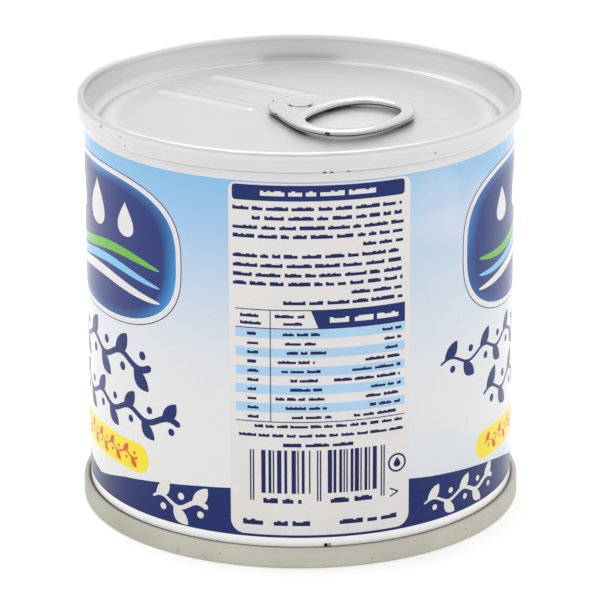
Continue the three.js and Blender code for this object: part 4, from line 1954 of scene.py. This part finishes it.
@dataclass
class Studio:
    """A pale seamless floor under plain soft light, and the camera at the photograph's view."""

    eye: tuple[float, float, float] = (0.0, -0.55810, 0.22164)
    pitch: float = 18.981
    roll: float = -0.1786
    lens: float = 237.105
    world_light: float = 1.03
    front_share: float = 0.84
    dark_height: float = 0.40
    dark_share: float = 0.5
    top_power: float = 5.5
    top_place: tuple[float, float, float] = (-0.1, 0.3, 1.1)
    top_size: tuple[float, float] = (1.1, 1.1)
    floor_half: float = 4.0
    floor_tones: tuple[float, float] = (0.93, 0.95)
    floor_glow: float = 0.16

    def place_camera(self) -> None:
        """Makes the camera: it looks along +Y, pitched down and rolled a little about its own axis."""
        data = bpy.data.cameras.new("camera")
        data.lens = self.lens
        data.sensor_width = 36.0
        data.clip_start = 0.01
        camera = bpy.data.objects.new("camera", data)
        pitched = Matrix.Rotation(math.radians(90 - self.pitch), 4, "X")
        rolled = Matrix.Rotation(math.radians(self.roll), 4, "Z")
        camera.matrix_world = Matrix.Translation(self.eye) @ pitched @ rolled
        bpy.context.scene.collection.objects.link(camera)
        bpy.context.scene.camera = camera

    def lay_floor(self) -> None:
        """Makes the floor in matt white."""
        half = self.floor_half
        mesh = bpy.data.meshes.new("floor")
        corners = [(-half, -half, 0), (half, -half, 0), (half, half, 0), (-half, half, 0)]
        mesh.from_pydata(corners, [], [(0, 1, 2, 3)])
        sheet = NodeSheet("floor_white")
        tone = sheet.mixed(sheet.noise(6, 2), *((grey, grey, grey, 1) for grey in self.floor_tones))
        sheet.join(tone, sheet.shader.inputs["Base Color"])
        sheet.shader.inputs["Roughness"].default_value = 0.9
        sheet.shader.inputs["Specular IOR Level"].default_value = 0.1
        sheet.shader.inputs["Emission Color"].default_value = (1, 1, 1, 1)
        sheet.shader.inputs["Emission Strength"].default_value = self.floor_glow
        mesh.materials.append(sheet.material)
        floor = bpy.data.objects.new("floor", mesh)
        bpy.context.scene.collection.objects.link(floor)

    def soft_light(self, name: str, place: tuple[float, float, float], size: tuple[float, float],
                   power: float) -> None:
        """Hangs a rectangular light that faces the can and that the camera doesn't see.

        Args:
            name: the light's name.
            place: where it hangs, in metres.
            size: its width and height in metres.
            power: its power in watts.
        """
        data = bpy.data.lights.new(name, "AREA")
        data.shape = "RECTANGLE"
        data.size, data.size_y = size
        data.energy = power
        lamp = bpy.data.objects.new(name, data)
        towards = Vector((0, 0, 0.03)) - Vector(place)
        lamp.rotation_euler = towards.to_track_quat("-Z", "Y").to_euler()
        lamp.location = place
        lamp.visible_camera = False
        bpy.context.scene.collection.objects.link(lamp)

    def surround(self) -> None:
        """Makes the white surround: full light behind the can, less in front, and a dull patch there.

        The strength falls with the share of a direction that points to the front. The dull patch, low
        in front, is a window in x times one in z times one in y.
        """
        world = bpy.data.worlds.new("surround")
        world.use_nodes = True
        nodes = Nodes(world.node_tree)
        back = world.node_tree.nodes["Background"]
        back.inputs["Color"].default_value = (1, 1, 1, 1)
        split = nodes.add("ShaderNodeSeparateXYZ")
        nodes.join(nodes.add("ShaderNodeTexCoord").outputs["Generated"], split.inputs[0])
        x, y, z = split.outputs
        front = nodes.ranged(y, -0.9, 0.1, self.world_light * self.front_share, self.world_light)
        wide = nodes.ranged(nodes.math("ABSOLUTE", x), 0.22, 0.42, 1, 0)
        over = nodes.math("SUBTRACT", z, self.dark_height)
        tall = nodes.ranged(nodes.math("ABSOLUTE", over), 0.10, 0.18, 1, 0)
        ahead = nodes.ranged(y, -0.6, -0.4, 1, 0)
        patch = nodes.math("MULTIPLY", nodes.math("MULTIPLY", wide, tall), ahead)
        strength = nodes.math("MULTIPLY", front, nodes.ranged(patch, 0, 1, 1, self.dark_share))
        nodes.join(strength, back.inputs["Strength"])
        bpy.context.scene.world = world

    def light(self) -> None:
        """Lights the can: the surround, and a broad light overhead a little behind the can."""
        self.surround()
        bpy.context.scene.view_settings.view_transform = "Standard"
        self.soft_light("top_light", self.top_place, self.top_size, self.top_power)

    def build(self) -> None:
        """Sets up camera, floor and light."""
        self.place_camera()
        self.lay_floor()
        self.light()
        LOG.info("studio is set")


def main() -> None:
    """Builds the studio, then the can's metal and wall, then its print."""
    logging.basicConfig(level=logging.INFO, format="%(name)s: %(message)s")
    Studio().build()
    tab = RingTab()
    lid = LidEnd(tab)
    for part in (CanWall(), BaseEnd(), lid, tab, TabRivet(), SmallMarks(lid)):
        part.build()
    printer = Printer()
    half_way = CAN.girth / 2
    prints = [
        Margins(),
        FootBand(),
        InfoPanel("front_panel", 0.0, 5),
        InfoPanel("back_panel", half_way, 8),
        Badge("left_badge", -37.3),
        Badge("right_badge", 45.8),
        Garlands("left_garlands", ((-52.0, -23.6, 23.9, 7.0, 6, 1.1), (-56.0, -18.3, 16.6, 5.9, 9, 1.0)),
                 (-49.0, -24.4, 10.4, 14.9)),
        Garlands("right_garlands", ((21.8, 66.0, 25.2, 5.6, 11, 0.8), (31.8, 62.0, 17.6, 6.4, 7, 0.95)),
                 (30.0, 61.0, 10.8, 15.1), 12),
    ]
    for part in prints:
        part.lay(printer)
    printer.build()


if __name__ == "__main__":
    main()
